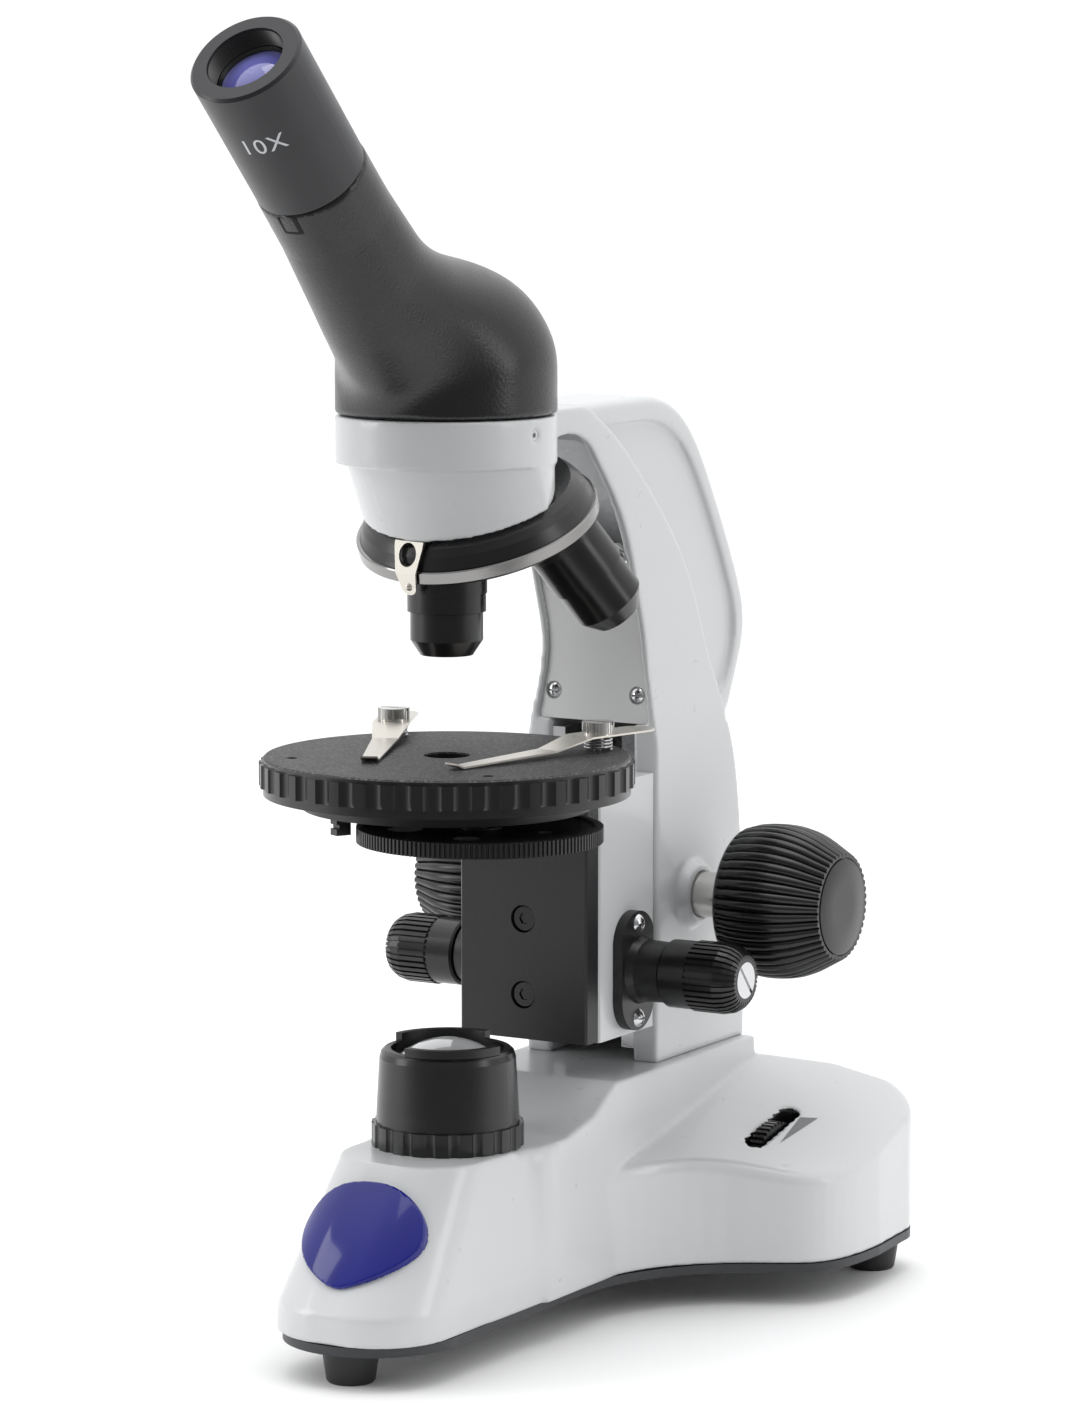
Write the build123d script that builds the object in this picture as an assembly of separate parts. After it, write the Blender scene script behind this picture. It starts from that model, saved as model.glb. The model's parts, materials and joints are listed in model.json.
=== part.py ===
from build123d import *
import os
from math import cos, sin, radians, pi, hypot, atan2

# A monocular student microscope with a rotating round stage. Millimetres, +Z up.
# Shapes are built with the optical axis at X = 0, Y = 0 and the table at Z = 0; +Y runs towards the arm.
# Every node is then shifted by AXIS_Y, so that the origin is the middle of the footprint.

# ---------------------------------------------------------------- driving dimensions
GAP = 0.3                 # clearance between pieces that move past each other
RUN = 0.05                # radial clearance of a shaft in its bore

FOOT_HEIGHT = 9.7
PLATE_TOP = 12.2          # top of the bottom plate, where the base casting starts
FEET = [(0, -50), (-60, 139), (60, 139)]
BASE_REAR = 152.8
BASE_HALF_WIDTH = 74.0
NOSE_TIP = -62.5
BAND_TOP = 20.0           # top of the upright band round the nose
NOSE_TOP = 55.7           # where the illuminator stands
PLATEAU_TOP = 66.5        # where the arm stands
PLATEAU_HALF = 24.8
PLATEAU_REAR = 131.8
WING_CAP = 60.7           # the wings stay level with each other behind the plateau
WALL = 4.0                # thickness of the base casting's rear wall
CAVITY_TOP = 33.0

COLUMN_HALF = 21.4
COLUMN_FRONT = 79.0
CHANNEL_HALF = 13.4
CHANNEL_BACK = 117.0
NECK_HALF = 17.2
FIN_HALF = 13.0
RECESS_HALF = 15.2
COVER_THICK = 2.0
SCREW_SEAT = 1.8          # depth of the cover screws' seats behind the arm's front face

RING_RADIUS = 30.0        # white ring under the head
RING_LOW, RING_HIGH = 242.8, 255.8
DRUM_RADIUS = 29.3

TURRET_APEX = 264.5       # where the objective axes meet
TURRET_TILT = 22.5
TURRET_CUT = 33.1         # distance from the apex to the drum's slanted lower face
TURRET_PLANE = 42.5       # distance from the apex to the middle of the grip ring
TURRET_RADIUS = 32.5
TURRET_FACE = 45.4        # distance from the apex to the flat underside that carries the bosses
GRIP_RADIUS = 33.5
GRIP_THICK = 3.6
SHOULDER = 57.0           # distance from the apex to the objective shoulders
THREAD_RADIUS = 10.1      # the standard 20.3 mm objective thread
PIVOT_RADIUS = 4.0
LIGHT_BORE = 7.0

HEAD_BOTTOM = 256.1
HEAD_RADIUS = 30.0
HEAD_WALL_TOP = 268.0     # top of the head's upright wall, where the dome starts
HEAD_DOME = 28.0          # height of the dome above that wall
TUBE_ORIGIN = 254.9       # height where the inclined tube axis meets the optical axis
TUBE_ANGLE = 45.0
TUBE_END = 95.2           # distance along the tube to the seam with the eyepiece
EYEPIECE_TOP = 137.2
EYEPIECE_RADIUS = 15.25
MOUTH_RADIUS = 10.3
LATCH_TURN = 178          # degrees round the tube from its upper side to the latch groove
SLEEVE_RADIUS = 11.6      # the standard 23.2 mm eyepiece sleeve
EYEPIECE_REACH = (EYEPIECE_TOP + EYEPIECE_RADIUS - 0.8) * sin(radians(TUBE_ANGLE))
AXIS_Y = (EYEPIECE_REACH - BASE_REAR) / 2   # optical axis, measured from the middle of the footprint

STAGE_TOP = 163.0
STAGE_BOTTOM = 152.7
STAGE_RADIUS = 50.0
STAGE_RIM = 51.1
STAGE_HOLE = 6.3
STAGE_TURN = 2.8          # the stage is turned by this angle at rest
BEARING_RADIUS = 24.0
CLIP_RADIUS = 42.3
CLIP_ANGLE = 40.9

SUPPORT_RADIUS = 39.5
SUPPORT_LOW, SUPPORT_HIGH = 149.0, 152.4
DISC_CENTRE = (17.0, -11.0)
DISC_RADIUS = 33.3
DISC_LOW, DISC_HIGH = 142.3, 146.4
FILTER_PIVOT = (-20.0, 14.0)

BLOCK_HALF = 20.5
BLOCK_FRONT, BLOCK_BACK = 47.8, 78.7
BLOCK_LOW, BLOCK_HIGH = 77.5, 150.0
CARRIER_FRONT, CARRIER_BACK = 40.5, 47.5
CARRIER_LOW = 78.0

COARSE_Y, COARSE_Z = 99.5, 112.8
COARSE_RADIUS = 22.0
COARSE_SHAFT = 4.0
BUSH_RADIUS = 6.5
MODULE = 1.0
PINION_TEETH = 12
FINE_Y, FINE_Z = 66.0, 95.8
FINE_RADIUS = 10.0
FINE_SHAFT = 2.5

DIAL_X, DIAL_Y, DIAL_Z = 46.8, 101.5, 34.3
DIAL_RADIUS = 14.0

ARM_BOLTS = [(-17, 90), (17, 90), (0, 123)]
COVER_SCREWS = [(-13.6, 171.3), (13.6, 171.3), (-12.6, 211), (12.6, 211)]
CARRIER_SCREWS = [112.0, 90.5]
BRACKET_SCREWS = [109.2, 82.3]
BRACKET_Y = 64.5


# ---------------------------------------------------------------- plain shapes
def rod(radius, low, high, x=0, y=0):
    return Pos(x, y, (low + high) / 2) * Cylinder(radius, high - low)


def rod_x(radius, low, high, y, z):
    return Pos((low + high) / 2, y, z) * Rot(0, 90, 0) * Cylinder(radius, high - low)


def brick(x, y, z):
    size = [high - low for low, high in (x, y, z)]
    middle = [(low + high) / 2 for low, high in (x, y, z)]
    return Pos(*middle) * Box(*size)


def turned(outline):
    """Spin an outline of (radius, height) points about Z."""
    points = [(radius, 0, height) for radius, height in outline]
    return revolve(make_face(Polyline(*points, close=True)), Axis.Z)


def turned_x(outline, y, z):
    """Spin an outline of (radius, distance along X) points about a line along X."""
    return Pos(0, y, z) * Rot(0, 90, 0) * turned(outline)


def side_slab(outline, half_width):
    """Extrude a closed outline drawn in the YZ plane to both sides of X = 0."""
    pieces = outline if isinstance(outline, list) else [outline]
    edges = [edge for piece in pieces for edge in piece.edges()]
    return extrude(make_face(edges), half_width, dir=(1, 0, 0), both=True)


def side_polygon(points, half_width):
    return side_slab(Polyline(*[(0, y, z) for y, z in points], close=True), half_width)


def fluted_disc(radius, flute_radius, depth, count, low, high):
    flutes = PolarLocations(radius + flute_radius - depth, count) * Circle(flute_radius)
    return extrude(Pos(0, 0, low) * (Circle(radius) - flutes), high - low)


def toothed_disc(outer, inner, count, low, high):
    step = 2 * pi / count
    points = []
    for tooth in range(count):
        for radius, part in ((inner, 0.0), (outer, 0.15), (outer, 0.6), (inner, 0.75)):
            angle = (tooth + part) * step
            points.append((radius * cos(angle), radius * sin(angle), low))
    return extrude(make_face(Polyline(*points, close=True)), high - low, dir=(0, 0, 1))


def ribbed(outline, depth, count, length):
    """A turned body whose ribs stand a little above a smooth core and follow its outline."""
    core = [(max(radius - depth, 0), height) for radius, height in outline]
    star = toothed_disc(30, 6, count, 0, length)
    return turned(core) + (turned(outline) & star)


def both_sides(shape):
    return [shape, mirror(shape, about=Plane.YZ)]


def mirror_pieces(pieces):
    return [mirror(piece, about=Plane.YZ) for piece in pieces]


def frame_along(origin, direction):
    return Plane(origin=origin, x_dir=(1, 0, 0), z_dir=direction).location


TILT = radians(TURRET_TILT)
TURRET_AXIS = Vector(0, sin(TILT), -cos(TILT))
TURRET_FRAME = frame_along((0, 0, TURRET_APEX), TURRET_AXIS)
TUBE_AXIS = Vector(0, -sin(radians(TUBE_ANGLE)), cos(radians(TUBE_ANGLE)))
TUBE_FRAME = frame_along((0, 0, TUBE_ORIGIN), TUBE_AXIS)


# ---------------------------------------------------------------- base
def base_outline(height):
    """Plan of the base: a round-ended nose that flares into two rear wings."""
    corner = 21.0
    half = 24.6
    mid = NOSE_TIP + corner
    nose = ThreePointArc((0, NOSE_TIP), (half * 0.72, mid - corner * 0.66), (half, mid + 6))
    side = Line((half, mid + 6), (half, 8))
    flare = Spline((half, 8), (30.7, 54.8), (46.8, 74.1), (62.4, 83.3), (BASE_HALF_WIDTH, 116),
                   tangents=[(0, 1), (0, 1)])
    edge = Line((BASE_HALF_WIDTH, 116), (BASE_HALF_WIDTH - 2, 136))
    rear = ThreePointArc((BASE_HALF_WIDTH - 2, 136), (67.5, 147.5), (57, BASE_REAR))
    right = [nose, side, flare, edge, rear]
    left = [mirror(piece, about=Plane.YZ) for piece in right]
    back = Line((57, BASE_REAR), (-57, BASE_REAR))
    return Pos(0, 0, height) * make_face(right + [back] + left)


def nose_section(front, half, rear_half, corner, height):
    rear = 50.0
    plan = Polyline((-half, front), (half, front), (rear_half, rear), (-rear_half, rear), close=True)
    face = make_face(plan)
    corners = face.vertices().sort_by(Axis.Y)[:2]
    return Pos(0, 0, height) * fillet(corners, corner)


def nose(grow=0.0):
    """The front of the casting: an upright band, then a front that leans back."""
    low = nose_section(NOSE_TIP - grow, 24.6 + grow, 27 + grow, 21, PLATE_TOP)
    mid = nose_section(NOSE_TIP + 0.4 - grow, 24.4 + grow, 27 + grow, 21, BAND_TOP)
    high = nose_section(-33 - grow * 1.4, 20.3 + grow, 24.8 + grow, 17, NOSE_TOP)
    return loft([low, mid], ruled=True) + loft([mid, high], ruled=True)


def wing_plane(side):
    """The sloping top of one wing, lowest at the outer front corner."""
    return Plane(origin=(side * 25, 131, 60.7), z_dir=(side * 0.33, -0.22, 1))


def wing():
    """One rear wing with a soft upper edge; the other one is its mirror image."""
    body = extrude(base_outline(PLATE_TOP), 70) & brick((0, 90), (6, 170), (0, 90))
    body = split(body, bisect_by=wing_plane(1), keep=Keep.BOTTOM)
    top = body.faces().filter_by(lambda face: face.normal_at().Z > 0.85)[0]
    rim = top.edges().filter_by(lambda edge: edge.center().X > 24)
    cap = [(0, 0), (0, WING_CAP), (134, WING_CAP), (146, 57.5), (151, 52.5), (160, 41), (160, 0)]
    return fillet(rim, 3.5) & side_polygon(cap, 90)


def spine():
    """The middle of the casting: nose top, ramp and the plateau that carries the arm."""
    lower = Pos(0, 0, PLATE_TOP) * Rectangle(55, 126, align=(Align.CENTER, Align.MIN))
    upper = Pos(0, 0, PLATEAU_TOP) * Rectangle(2 * PLATEAU_HALF, PLATEAU_REAR - 8,
                                               align=(Align.CENTER, Align.MIN))
    body = Pos(0, 8, 0) * loft([lower, upper], ruled=True)
    top = [(0, PLATE_TOP), (0, NOSE_TOP), (22, NOSE_TOP), (38, 59.4), (49.8, PLATEAU_TOP),
           (140, PLATEAU_TOP), (140, PLATE_TOP)]
    return body & side_polygon(top, 40)


def slot_prism(x, y, length, width, low, high):
    return extrude(Pos(x, y, low) * Rot(0, 0, 90) * SlotOverall(length, width), high - low)


def base_cavity():
    """The hollow underside: a simple outline that keeps a thick wall all round."""
    right = [(0, -48), (12, -44), (18, -34), (20, 10), (24, 46), (42, 76), (60, 88), (69, 114), (67, 136),
             (57, BASE_REAR - WALL - 1)]
    left = [(-x, y) for x, y in reversed(right[1:])]
    face = make_face(Polyline(*(right + left), close=True))
    return extrude(Pos(0, 0, PLATE_TOP) * face, CAVITY_TOP - PLATE_TOP)


def base_casting():
    body = nose() + spine() + both_sides(wing())
    body -= base_cavity()
    body -= brick((-16, 16), (-30, 86), (PLATE_TOP, 48))
    body -= brick((-21, 21), (80, 128), (PLATE_TOP, 48))
    for x, y in FEET:
        body += rod(5, PLATE_TOP, 26 if y < 0 else 34, x, y)
        body -= rod(1.6, PLATE_TOP, 25, x, y)
    body -= rod(13, 40, 60)
    body -= brick((42, 60), (84, 119), (PLATE_TOP, 39))
    body -= slot_prism(DIAL_X, DIAL_Y, 27, 5.2, 35, 60)
    body -= slot_prism(DIAL_X, DIAL_Y, 31, 5.6, 35, 40.5)
    for x, y in ARM_BOLTS:
        body -= rod(2.1, 40, 70, x, y)
    body -= Pos(30, BASE_REAR, 26) * Rot(90, 0, 0) * Cylinder(4.5, 30)
    return body


def bottom_plate():
    plate = extrude(base_outline(FOOT_HEIGHT), PLATE_TOP - FOOT_HEIGHT)
    for x, y in FEET:
        plate -= rod(1.6, 0, 20, x, y)
    return plate - brick((-55, 1), (83, 133), (0, 20))


def battery_cover():
    return brick((-55 + GAP, 1 - GAP), (83 + GAP, 133 - GAP), (FOOT_HEIGHT + 0.2, PLATE_TOP))


def rubber_foot(x, y):
    foot = turned([(3.4, 0), (6.1, 0), (6.6, 0.6), (8.0, FOOT_HEIGHT), (1.6, FOOT_HEIGHT), (1.6, 4.5),
                   (3.4, 4.5)])
    return Pos(x, y, 0) * foot


def foot_screw(x, y):
    screw = rod(3.1, 2.4, 4.5) + rod(1.5, 4.5, 22)
    slot = brick((-3.5, 3.5), (-0.4, 0.4), (2, 3.2))
    return Pos(x, y, 0) * (screw - slot)


def badge():
    """A domed plaque, a rounded triangle, that follows the leaning front of the nose."""
    lean = Plane(origin=(0, -46.2, 39.5), x_dir=(1, 0, 0), z_dir=(0, -0.775, 0.632))
    right = [(9.6, 13.2), (16.4, 8.2), (18.7, 1.6), (15.8, -6.6), (6.4, -14.9)]
    left = [(-x, y) for x, y in reversed(right)]
    shape = Spline((0, 15), *right, (0, -17), *left, periodic=True)
    prism = extrude(lean.location * make_face(shape), 16, both=True)
    skin = prism & (nose(1.6) - nose(0.0))
    return skin.solids().sort_by(Axis.Y)[0]


# ---------------------------------------------------------------- illuminator and electrics
def illuminator_ring():
    ring = fluted_disc(20.9, 2.2, 0.7, 20, NOSE_TOP, 62.0)
    return ring - rod(17.6, 50, 70)


def rim_sector(start, sweep):
    """A raised part of the notched rim at the top of the housing."""
    ring = rod(17.7, 82.3, 84.6) - rod(15.6, 80, 90)
    corner = 40.0
    points = [(0, 0)]
    for step in range(5):
        angle = radians(start + sweep * step / 4)
        points.append((corner * cos(angle), corner * sin(angle)))
    wedge = extrude(Pos(0, 0, 80) * make_face(Polyline(*points, close=True)), 10)
    return ring & wedge


def illuminator_housing():
    shell = turned([(17.6, NOSE_TOP), (17.6, 62), (19.7, 62), (19.5, 66), (18.7, 80), (18.2, 81.6),
                    (17.3, 82.4), (15.6, 82.4), (15.6, 75.2), (13.6, 75.2), (13.6, NOSE_TOP)])
    return shell + rim_sector(80, 95) + rim_sector(-100, 95)


def collector_lens():
    lens = Pos(0, 0, 64.0) * Sphere(21.0)
    lens = lens & rod(15.4, 75.2, 90)
    return lens


def led_heat_sink():
    body = rod(12.9, 44, 56.4)
    for step in range(-4, 5):
        body -= brick((step * 2.6 - 0.7, step * 2.6 + 0.7), (-14, 14), (43, 53))
    return body


def led_board():
    return rod(12.9, 56.4, 58.0)


def led_emitter():
    return brick((-2.5, 2.5), (-2.5, 2.5), (58.0, 59.2)) + (Pos(0, 0, 58.6) * Sphere(2.0) & rod(3, 59.2, 62))


def battery_cells():
    cells = []
    for y in (92, 108, 124):
        cells.append(rod_x(7.1, -52, -3.2, y, 21.8) + rod_x(2.5, -3.2, -2.2, y, 21.8))
    return cells


def battery_holder():
    tray = brick((-54.5, 0.5), (83.5, 132.5), (12.8, 26))
    tray -= brick((-52.2, -2), (84.5, 131.5), (14.4, 30))
    for y in (100, 116):
        tray += brick((-40, -15), (y - 0.6, y + 0.6), (12.8, 20))
    return tray


def control_board():
    return brick((8, 60), (86, 128), (15.6, 17.2))


def board_spacers():
    return [rod(2.5, PLATE_TOP, 15.6, x, y) for x in (12, 56) for y in (90, 124)]


def potentiometer():
    body = brick((50.2, 58.5), (DIAL_Y - 7, DIAL_Y + 7), (17.2, 38.5))
    return body - rod_x(3.0 + RUN, 40, 57, DIAL_Y, DIAL_Z)


def dial_wheel():
    wheel = Rot(0, 90, 0) * toothed_disc(DIAL_RADIUS, DIAL_RADIUS - 0.8, 44, -1.9, 1.9)
    wheel = Pos(DIAL_X, DIAL_Y, DIAL_Z) * wheel
    return wheel + rod_x(3.0, 43.5, 56.5, DIAL_Y, DIAL_Z)


def charge_socket():
    body = Pos(30, BASE_REAR - 7.2, 26) * Rot(90, 0, 0) * (Cylinder(4.4, 14) - Cylinder(2.8, 20))
    flange = Pos(30, BASE_REAR - 13.6, 26) * Rot(90, 0, 0) * Cylinder(4.4, 1.6)
    pin = Pos(30, BASE_REAR - 8.2, 26) * Rot(90, 0, 0) * Cylinder(0.8, 10)
    return body + flange + pin


# ---------------------------------------------------------------- arm
ARM_FRONT = [(79.0, 160), (79.8, 172), (79.5, 187), (77.4, 195), (73.8, 206), (69.5, 217.8), (60, 232),
             (49.1, 244.2)]


def arm_side_profile():
    """Side view of the arm: column, curved neck and the bar that reaches the head ring."""
    front = Spline(*[(0, y, z) for y, z in ARM_FRONT], tangents=[(0, 0, 1), (0, -0.66, 0.75)])
    nose_arc = ThreePointArc((0, 49.1, 244.2), (0, 40, 248.2), (0, 29, 247.2))
    back = Spline((0, 52, 252.9), (0, 79.7, 232.8), (0, 107.8, 200.2), (0, 119.5, 170), (0, 121.5, 160),
                  tangents=[(0, 0.9, -0.45), (0, 0.12, -1)])
    rear = Spline((0, 121.5, 160), (0, 129, 130), (0, 131.4, PLATEAU_TOP),
                  tangents=[(0, 0.5, -1), (0, 0, -1)])
    pieces = [
        Line((0, COLUMN_FRONT, PLATEAU_TOP), (0, COLUMN_FRONT, 160)),
        front,
        nose_arc,
        Polyline((0, 29, 247.2), (0, 12, 244), (0, 12, RING_HIGH), (0, 44, RING_HIGH)),
        ThreePointArc((0, 44, RING_HIGH), (0, 48.3, 255), (0, 52, 252.9)),
        back,
        rear,
        Line((0, 131.4, PLATEAU_TOP), (0, COLUMN_FRONT, PLATEAU_TOP)),
    ]
    return pieces


def arm_front_profile():
    """Front view of the arm: the column narrows smoothly into the neck."""
    flare = Spline((COLUMN_HALF, 0, 154), (19.2, 0, 170), (17.6, 0, 180), (NECK_HALF, 0, 194),
                   tangents=[(0, 0, 1), (0, 0, 1)])
    right = [
        Line((COLUMN_HALF, 0, PLATEAU_TOP), (COLUMN_HALF, 0, 154)),
        flare,
        Line((NECK_HALF, 0, 194), (NECK_HALF, 0, 260)),
    ]
    left = [mirror(piece, about=Plane.YZ) for piece in right]
    top = Line((NECK_HALF, 0, 260), (-NECK_HALF, 0, 260))
    foot = Line((COLUMN_HALF, 0, PLATEAU_TOP), (-COLUMN_HALF, 0, PLATEAU_TOP))
    return make_face(right + [top, foot] + left)


def fin_profile(inset=0.0):
    """Side view of the rear fin; an inset gives the outline of its sunken panel."""
    top = RING_HIGH - 0.2 - inset
    far = 147.3 - inset
    curve = Spline((0, 88 - inset * 0.5, top), (0, 110.5 - inset * 0.8, 248.8 - inset * 0.8),
                   (0, 127.8 - inset * 0.9, 227.8 - inset * 0.4), (0, 142.2 - inset, 203 - inset * 0.2),
                   (0, far, 184), (0, 140.4 - inset * 0.8, 166.6 + inset * 0.5),
                   (0, 128 - inset * 0.3, 152 + inset * 1.6),
                   tangents=[(0, 1, -0.02), (0, -0.75, -0.66)])
    inner = Polyline((0, 128 - inset * 0.3, 152 + inset * 1.6), (0, 100, 160), (0, 60, 225),
                     (0, 50, top), (0, 88 - inset * 0.5, top))
    return [curve, inner]


def drum():
    """The round end of the arm: a ring for the head, tapering to the slanted nosepiece face."""
    ring = rod(RING_RADIUS, RING_LOW, RING_HIGH)
    cone = turned([(0, 5), (31.6, 5), (30.2, TURRET_CUT), (0, TURRET_CUT)])
    lower = rod(DRUM_RADIUS, 200, RING_LOW) & (TURRET_FRAME * cone)
    return ring + lower


def bush_boss():
    """A soft swelling on the column round each coarse bush."""
    cone = turned([(0, 0), (21, 0), (8.2, COLUMN_HALF + 3.6), (0, COLUMN_HALF + 3.6)])
    return both_sides(Pos(0, COARSE_Y, COARSE_Z) * Rot(0, 90, 0) * cone)


def arm_casting():
    body = side_slab(arm_side_profile(), 30) & extrude(arm_front_profile(), 200, dir=(0, 1, 0))
    fin = side_slab(fin_profile(), FIN_HALF)
    panel = side_slab(fin_profile(6.5), 30) - side_slab(fin_profile(6.5), FIN_HALF - 2.0)
    rail = fin.edges().filter_by(lambda edge: abs(abs(edge.center().X) - FIN_HALF) < 0.01)
    fin = fillet(rail.filter_by(GeomType.BSPLINE), 3.0)
    body = body + (fin - panel) + drum() + bush_boss()
    # open channel in the column, for the focus slide
    body -= brick((-CHANNEL_HALF, CHANNEL_HALF), (60, CHANNEL_BACK), (PLATEAU_TOP - 1, 163.5))
    # hollow neck behind the cover plate
    hollow = [(60, 163.2), (108, 163.2), (104, 180), (92, 205), (72, 230), (50, 246), (33, 246), (33, 243.5),
              (49, 238), (60, 225)]
    body -= side_polygon(hollow, RECESS_HALF - 0.9)
    # seat of the cover plate
    body -= cover_slab(-5, COVER_THICK + 1.2, 0.1)
    # light path, head seat, nosepiece seat, coarse bushes, bolts
    body -= rod(13, 200, 260)
    body -= rod(20 + RUN, 249, 260)
    body -= TURRET_FRAME * rod(26, 20, 40) & rod(DRUM_RADIUS - 2, 200, 247)
    body -= rod_x(BUSH_RADIUS, -40, 40, COARSE_Y, COARSE_Z)
    for x, y in ARM_BOLTS:
        body -= rod(2.1, PLATEAU_TOP - 1, PLATEAU_TOP + 14, x, y)
    body -= set_screw_rod(1.5, 18, 34)
    for x, z in COVER_SCREWS:
        body -= Pos(x, 80, z) * Rot(90, 0, 0) * Cylinder(1.25, 22)
    return body


def cover_slab(near, far, grow=0.0):
    """A curved slab that follows the front of the arm, between two depths behind it."""
    low = 163.4 - grow
    line = [(79.0, low), (79.8, 172), (79.5, 187), (77.4, 195), (73.8, 206), (70.6, 215.2 + grow)]
    first = Spline(*[(0, y + near, z) for y, z in line])
    second = Spline(*[(0, y + far, z) for y, z in line])
    ends = [Line(first @ 0, second @ 0), Line(first @ 1, second @ 1)]
    slab = side_slab([first, second] + ends, 25)
    flare = Spline((18.3 + grow, 0, 162), (16.6 + grow, 0, 172), (15.1 + grow, 0, 184), (14.9 + grow, 0, 200))
    right = [flare, Line(flare @ 1, (14.9 + grow, 0, 210)),
             ThreePointArc((14.9 + grow, 0, 210), (13.2 + grow, 0, 214.2), (9.5, 0, 216 + grow))]
    left = [mirror(piece, about=Plane.YZ) for piece in right]
    top = Line((9.5, 0, 216 + grow), (-9.5, 0, 216 + grow))
    bottom = Line((18.3 + grow, 0, 162), (-18.3 - grow, 0, 162))
    return slab & extrude(make_face(right + [top, bottom] + left), 120, dir=(0, 1, 0))


def arm_cover_plate():
    plate = cover_slab(1.2, 1.2 + COVER_THICK)
    for x, z in COVER_SCREWS:
        plate -= Pos(x, 80, z) * Rot(90, 0, 0) * Cylinder(1.6, 30)
        plate -= Pos(x, front_depth(z) + SCREW_SEAT - 5, z) * Rot(90, 0, 0) * Cylinder(2.6, 10)
    return plate


def front_depth(height):
    """Depth of the arm's front face at a height, read between the points of its outline."""
    for (y0, z0), (y1, z1) in zip(ARM_FRONT, ARM_FRONT[1:]):
        if z0 <= height <= z1:
            return y0 + (y1 - y0) * (height - z0) / (z1 - z0)
    return COLUMN_FRONT


def cross_screw(head_radius, shank_radius, length):
    """A pan head screw pointing along -Z, its head on the plane Z = 0, with a cross recess."""
    screw = rod(shank_radius, -length, 0)
    head = (Pos(0, 0, -head_radius * 0.6) * Sphere(head_radius * 1.17)) & rod(head_radius, 0, head_radius)
    cross = brick((-head_radius * 0.62, head_radius * 0.62), (-0.3, 0.3), (head_radius * 0.2, 9))
    return screw + (head - cross - Rot(0, 0, 90) * cross)


def cover_screws():
    screws = []
    for x, z in COVER_SCREWS:
        y = front_depth(z) + SCREW_SEAT
        screws.append(Pos(x, y, z) * Rot(90, 0, 0) * cross_screw(2.4, 1.2, 9))
    return screws


def arm_bolts():
    bolts = []
    for x, y in ARM_BOLTS:
        bolt = rod(2.0, 48, PLATEAU_TOP + 12, x, y) + rod(3.5, 44.5, 48, x, y)
        bolts.append(bolt - rod(1.5, 44, 46.5, x, y))
    return bolts


def set_screw_rod(radius, near, far):
    direction = (cos(radians(-6)), sin(radians(-6)), 0)
    frame = Plane(origin=(0, 0, 251.4), z_dir=direction).location
    return frame * rod(radius, near, far)


def head_set_screw():
    return set_screw_rod(1.5, 20.4, 29.5) - set_screw_rod(0.7, 28, 30)


def guide_rails():
    rail = brick((9.3, CHANNEL_HALF), (80, 90), (70, 161))
    return both_sides(rail)


def coarse_bush(inner, outer):
    length = outer - inner
    shape = turned([(COARSE_SHAFT + RUN, 0), (BUSH_RADIUS, 0), (BUSH_RADIUS, length - 4.2),
                    (BUSH_RADIUS - 1.1, length - 3.4), (BUSH_RADIUS - 1.1, length - 1.2),
                    (BUSH_RADIUS - 0.2, length - 0.8), (BUSH_RADIUS - 0.2, length),
                    (COARSE_SHAFT + RUN, length)])
    return Pos(inner, COARSE_Y, COARSE_Z) * Rot(0, 90, 0) * shape


def coarse_bushes():
    left = mirror(coarse_bush(CHANNEL_HALF, 29.4), about=Plane.YZ)
    return [coarse_bush(CHANNEL_HALF, 36.4), left]


# ---------------------------------------------------------------- nosepiece
def click_spring():
    """A nickel leaf: it leaves the drum's lower edge and presses on the grip ring."""
    line = [(-28.0, TURRET_CUT), (-30.0, TURRET_CUT), (-34.6, 40.4), (-34.6, 47.2), (-34.0, 47.2),
            (-34.0, 40.6), (-29.4, TURRET_CUT + 0.6), (-28.0, TURRET_CUT + 0.6)]
    leaf = side_polygon(line, 8)
    plan = Polyline((-5.0, 0, 28), (5.0, 0, 28), (4.6, 0, 34.5), (2.4, 0, 44.8), (-2.4, 0, 44.8),
                    (-4.6, 0, 34.5), close=True)
    shape = extrude(make_face(plan), 50, dir=(0, -1, 0))
    shape += Pos(0, -25, 44.6) * Rot(90, 0, 0) * Cylinder(2.45, 50)
    leaf = leaf & shape
    leaf -= Pos(0, -30, 36.2) * Rot(90, 0, 0) * Cylinder(2.8, 20)
    return SPRING_FRAME * leaf


def click_rivet():
    dome = Pos(0, -34.3, 44.6) * Sphere(1.2)
    return SPRING_FRAME * (dome & brick((-3, 3), (-38, -34.6), (40, 50)))


# the turret frame's Y axis points up at the front, so the leaf is drawn on its other side
SPRING_FRAME = TURRET_FRAME * Rot(0, 0, 180) * Rot(0, 0, 5)


def nosepiece_mount():
    disc = TURRET_FRAME * (rod(26, 20, TURRET_CUT) - rod(PIVOT_RADIUS, 30, 40))
    disc = disc & rod(DRUM_RADIUS - 2, 200, 247)
    return disc - rod(LIGHT_BORE, 200, 260)


def nosepiece_pivot():
    pin = rod(PIVOT_RADIUS, 30, 46) + rod(5.6, TURRET_FACE + GAP, 48.4)
    return TURRET_FRAME * (pin - brick((-6, 6), (-0.5, 0.5), (47.4, 49)))


def objective_frames():
    """One frame per objective; Z runs from the apex along the objective's axis."""
    frames = []
    start = Vector(0, 0, -1)
    for turn in (0, 120, 240):
        direction = start.rotate(Axis((0, 0, 0), TURRET_AXIS), turn)
        side = direction.cross(TURRET_AXIS)
        frames.append(Plane(origin=(0, 0, TURRET_APEX), x_dir=side, z_dir=direction).location)
    frames[1:] = sorted(frames[1:], key=lambda frame: -(frame * Pos(0, 0, 50)).position.X)
    return frames


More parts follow.
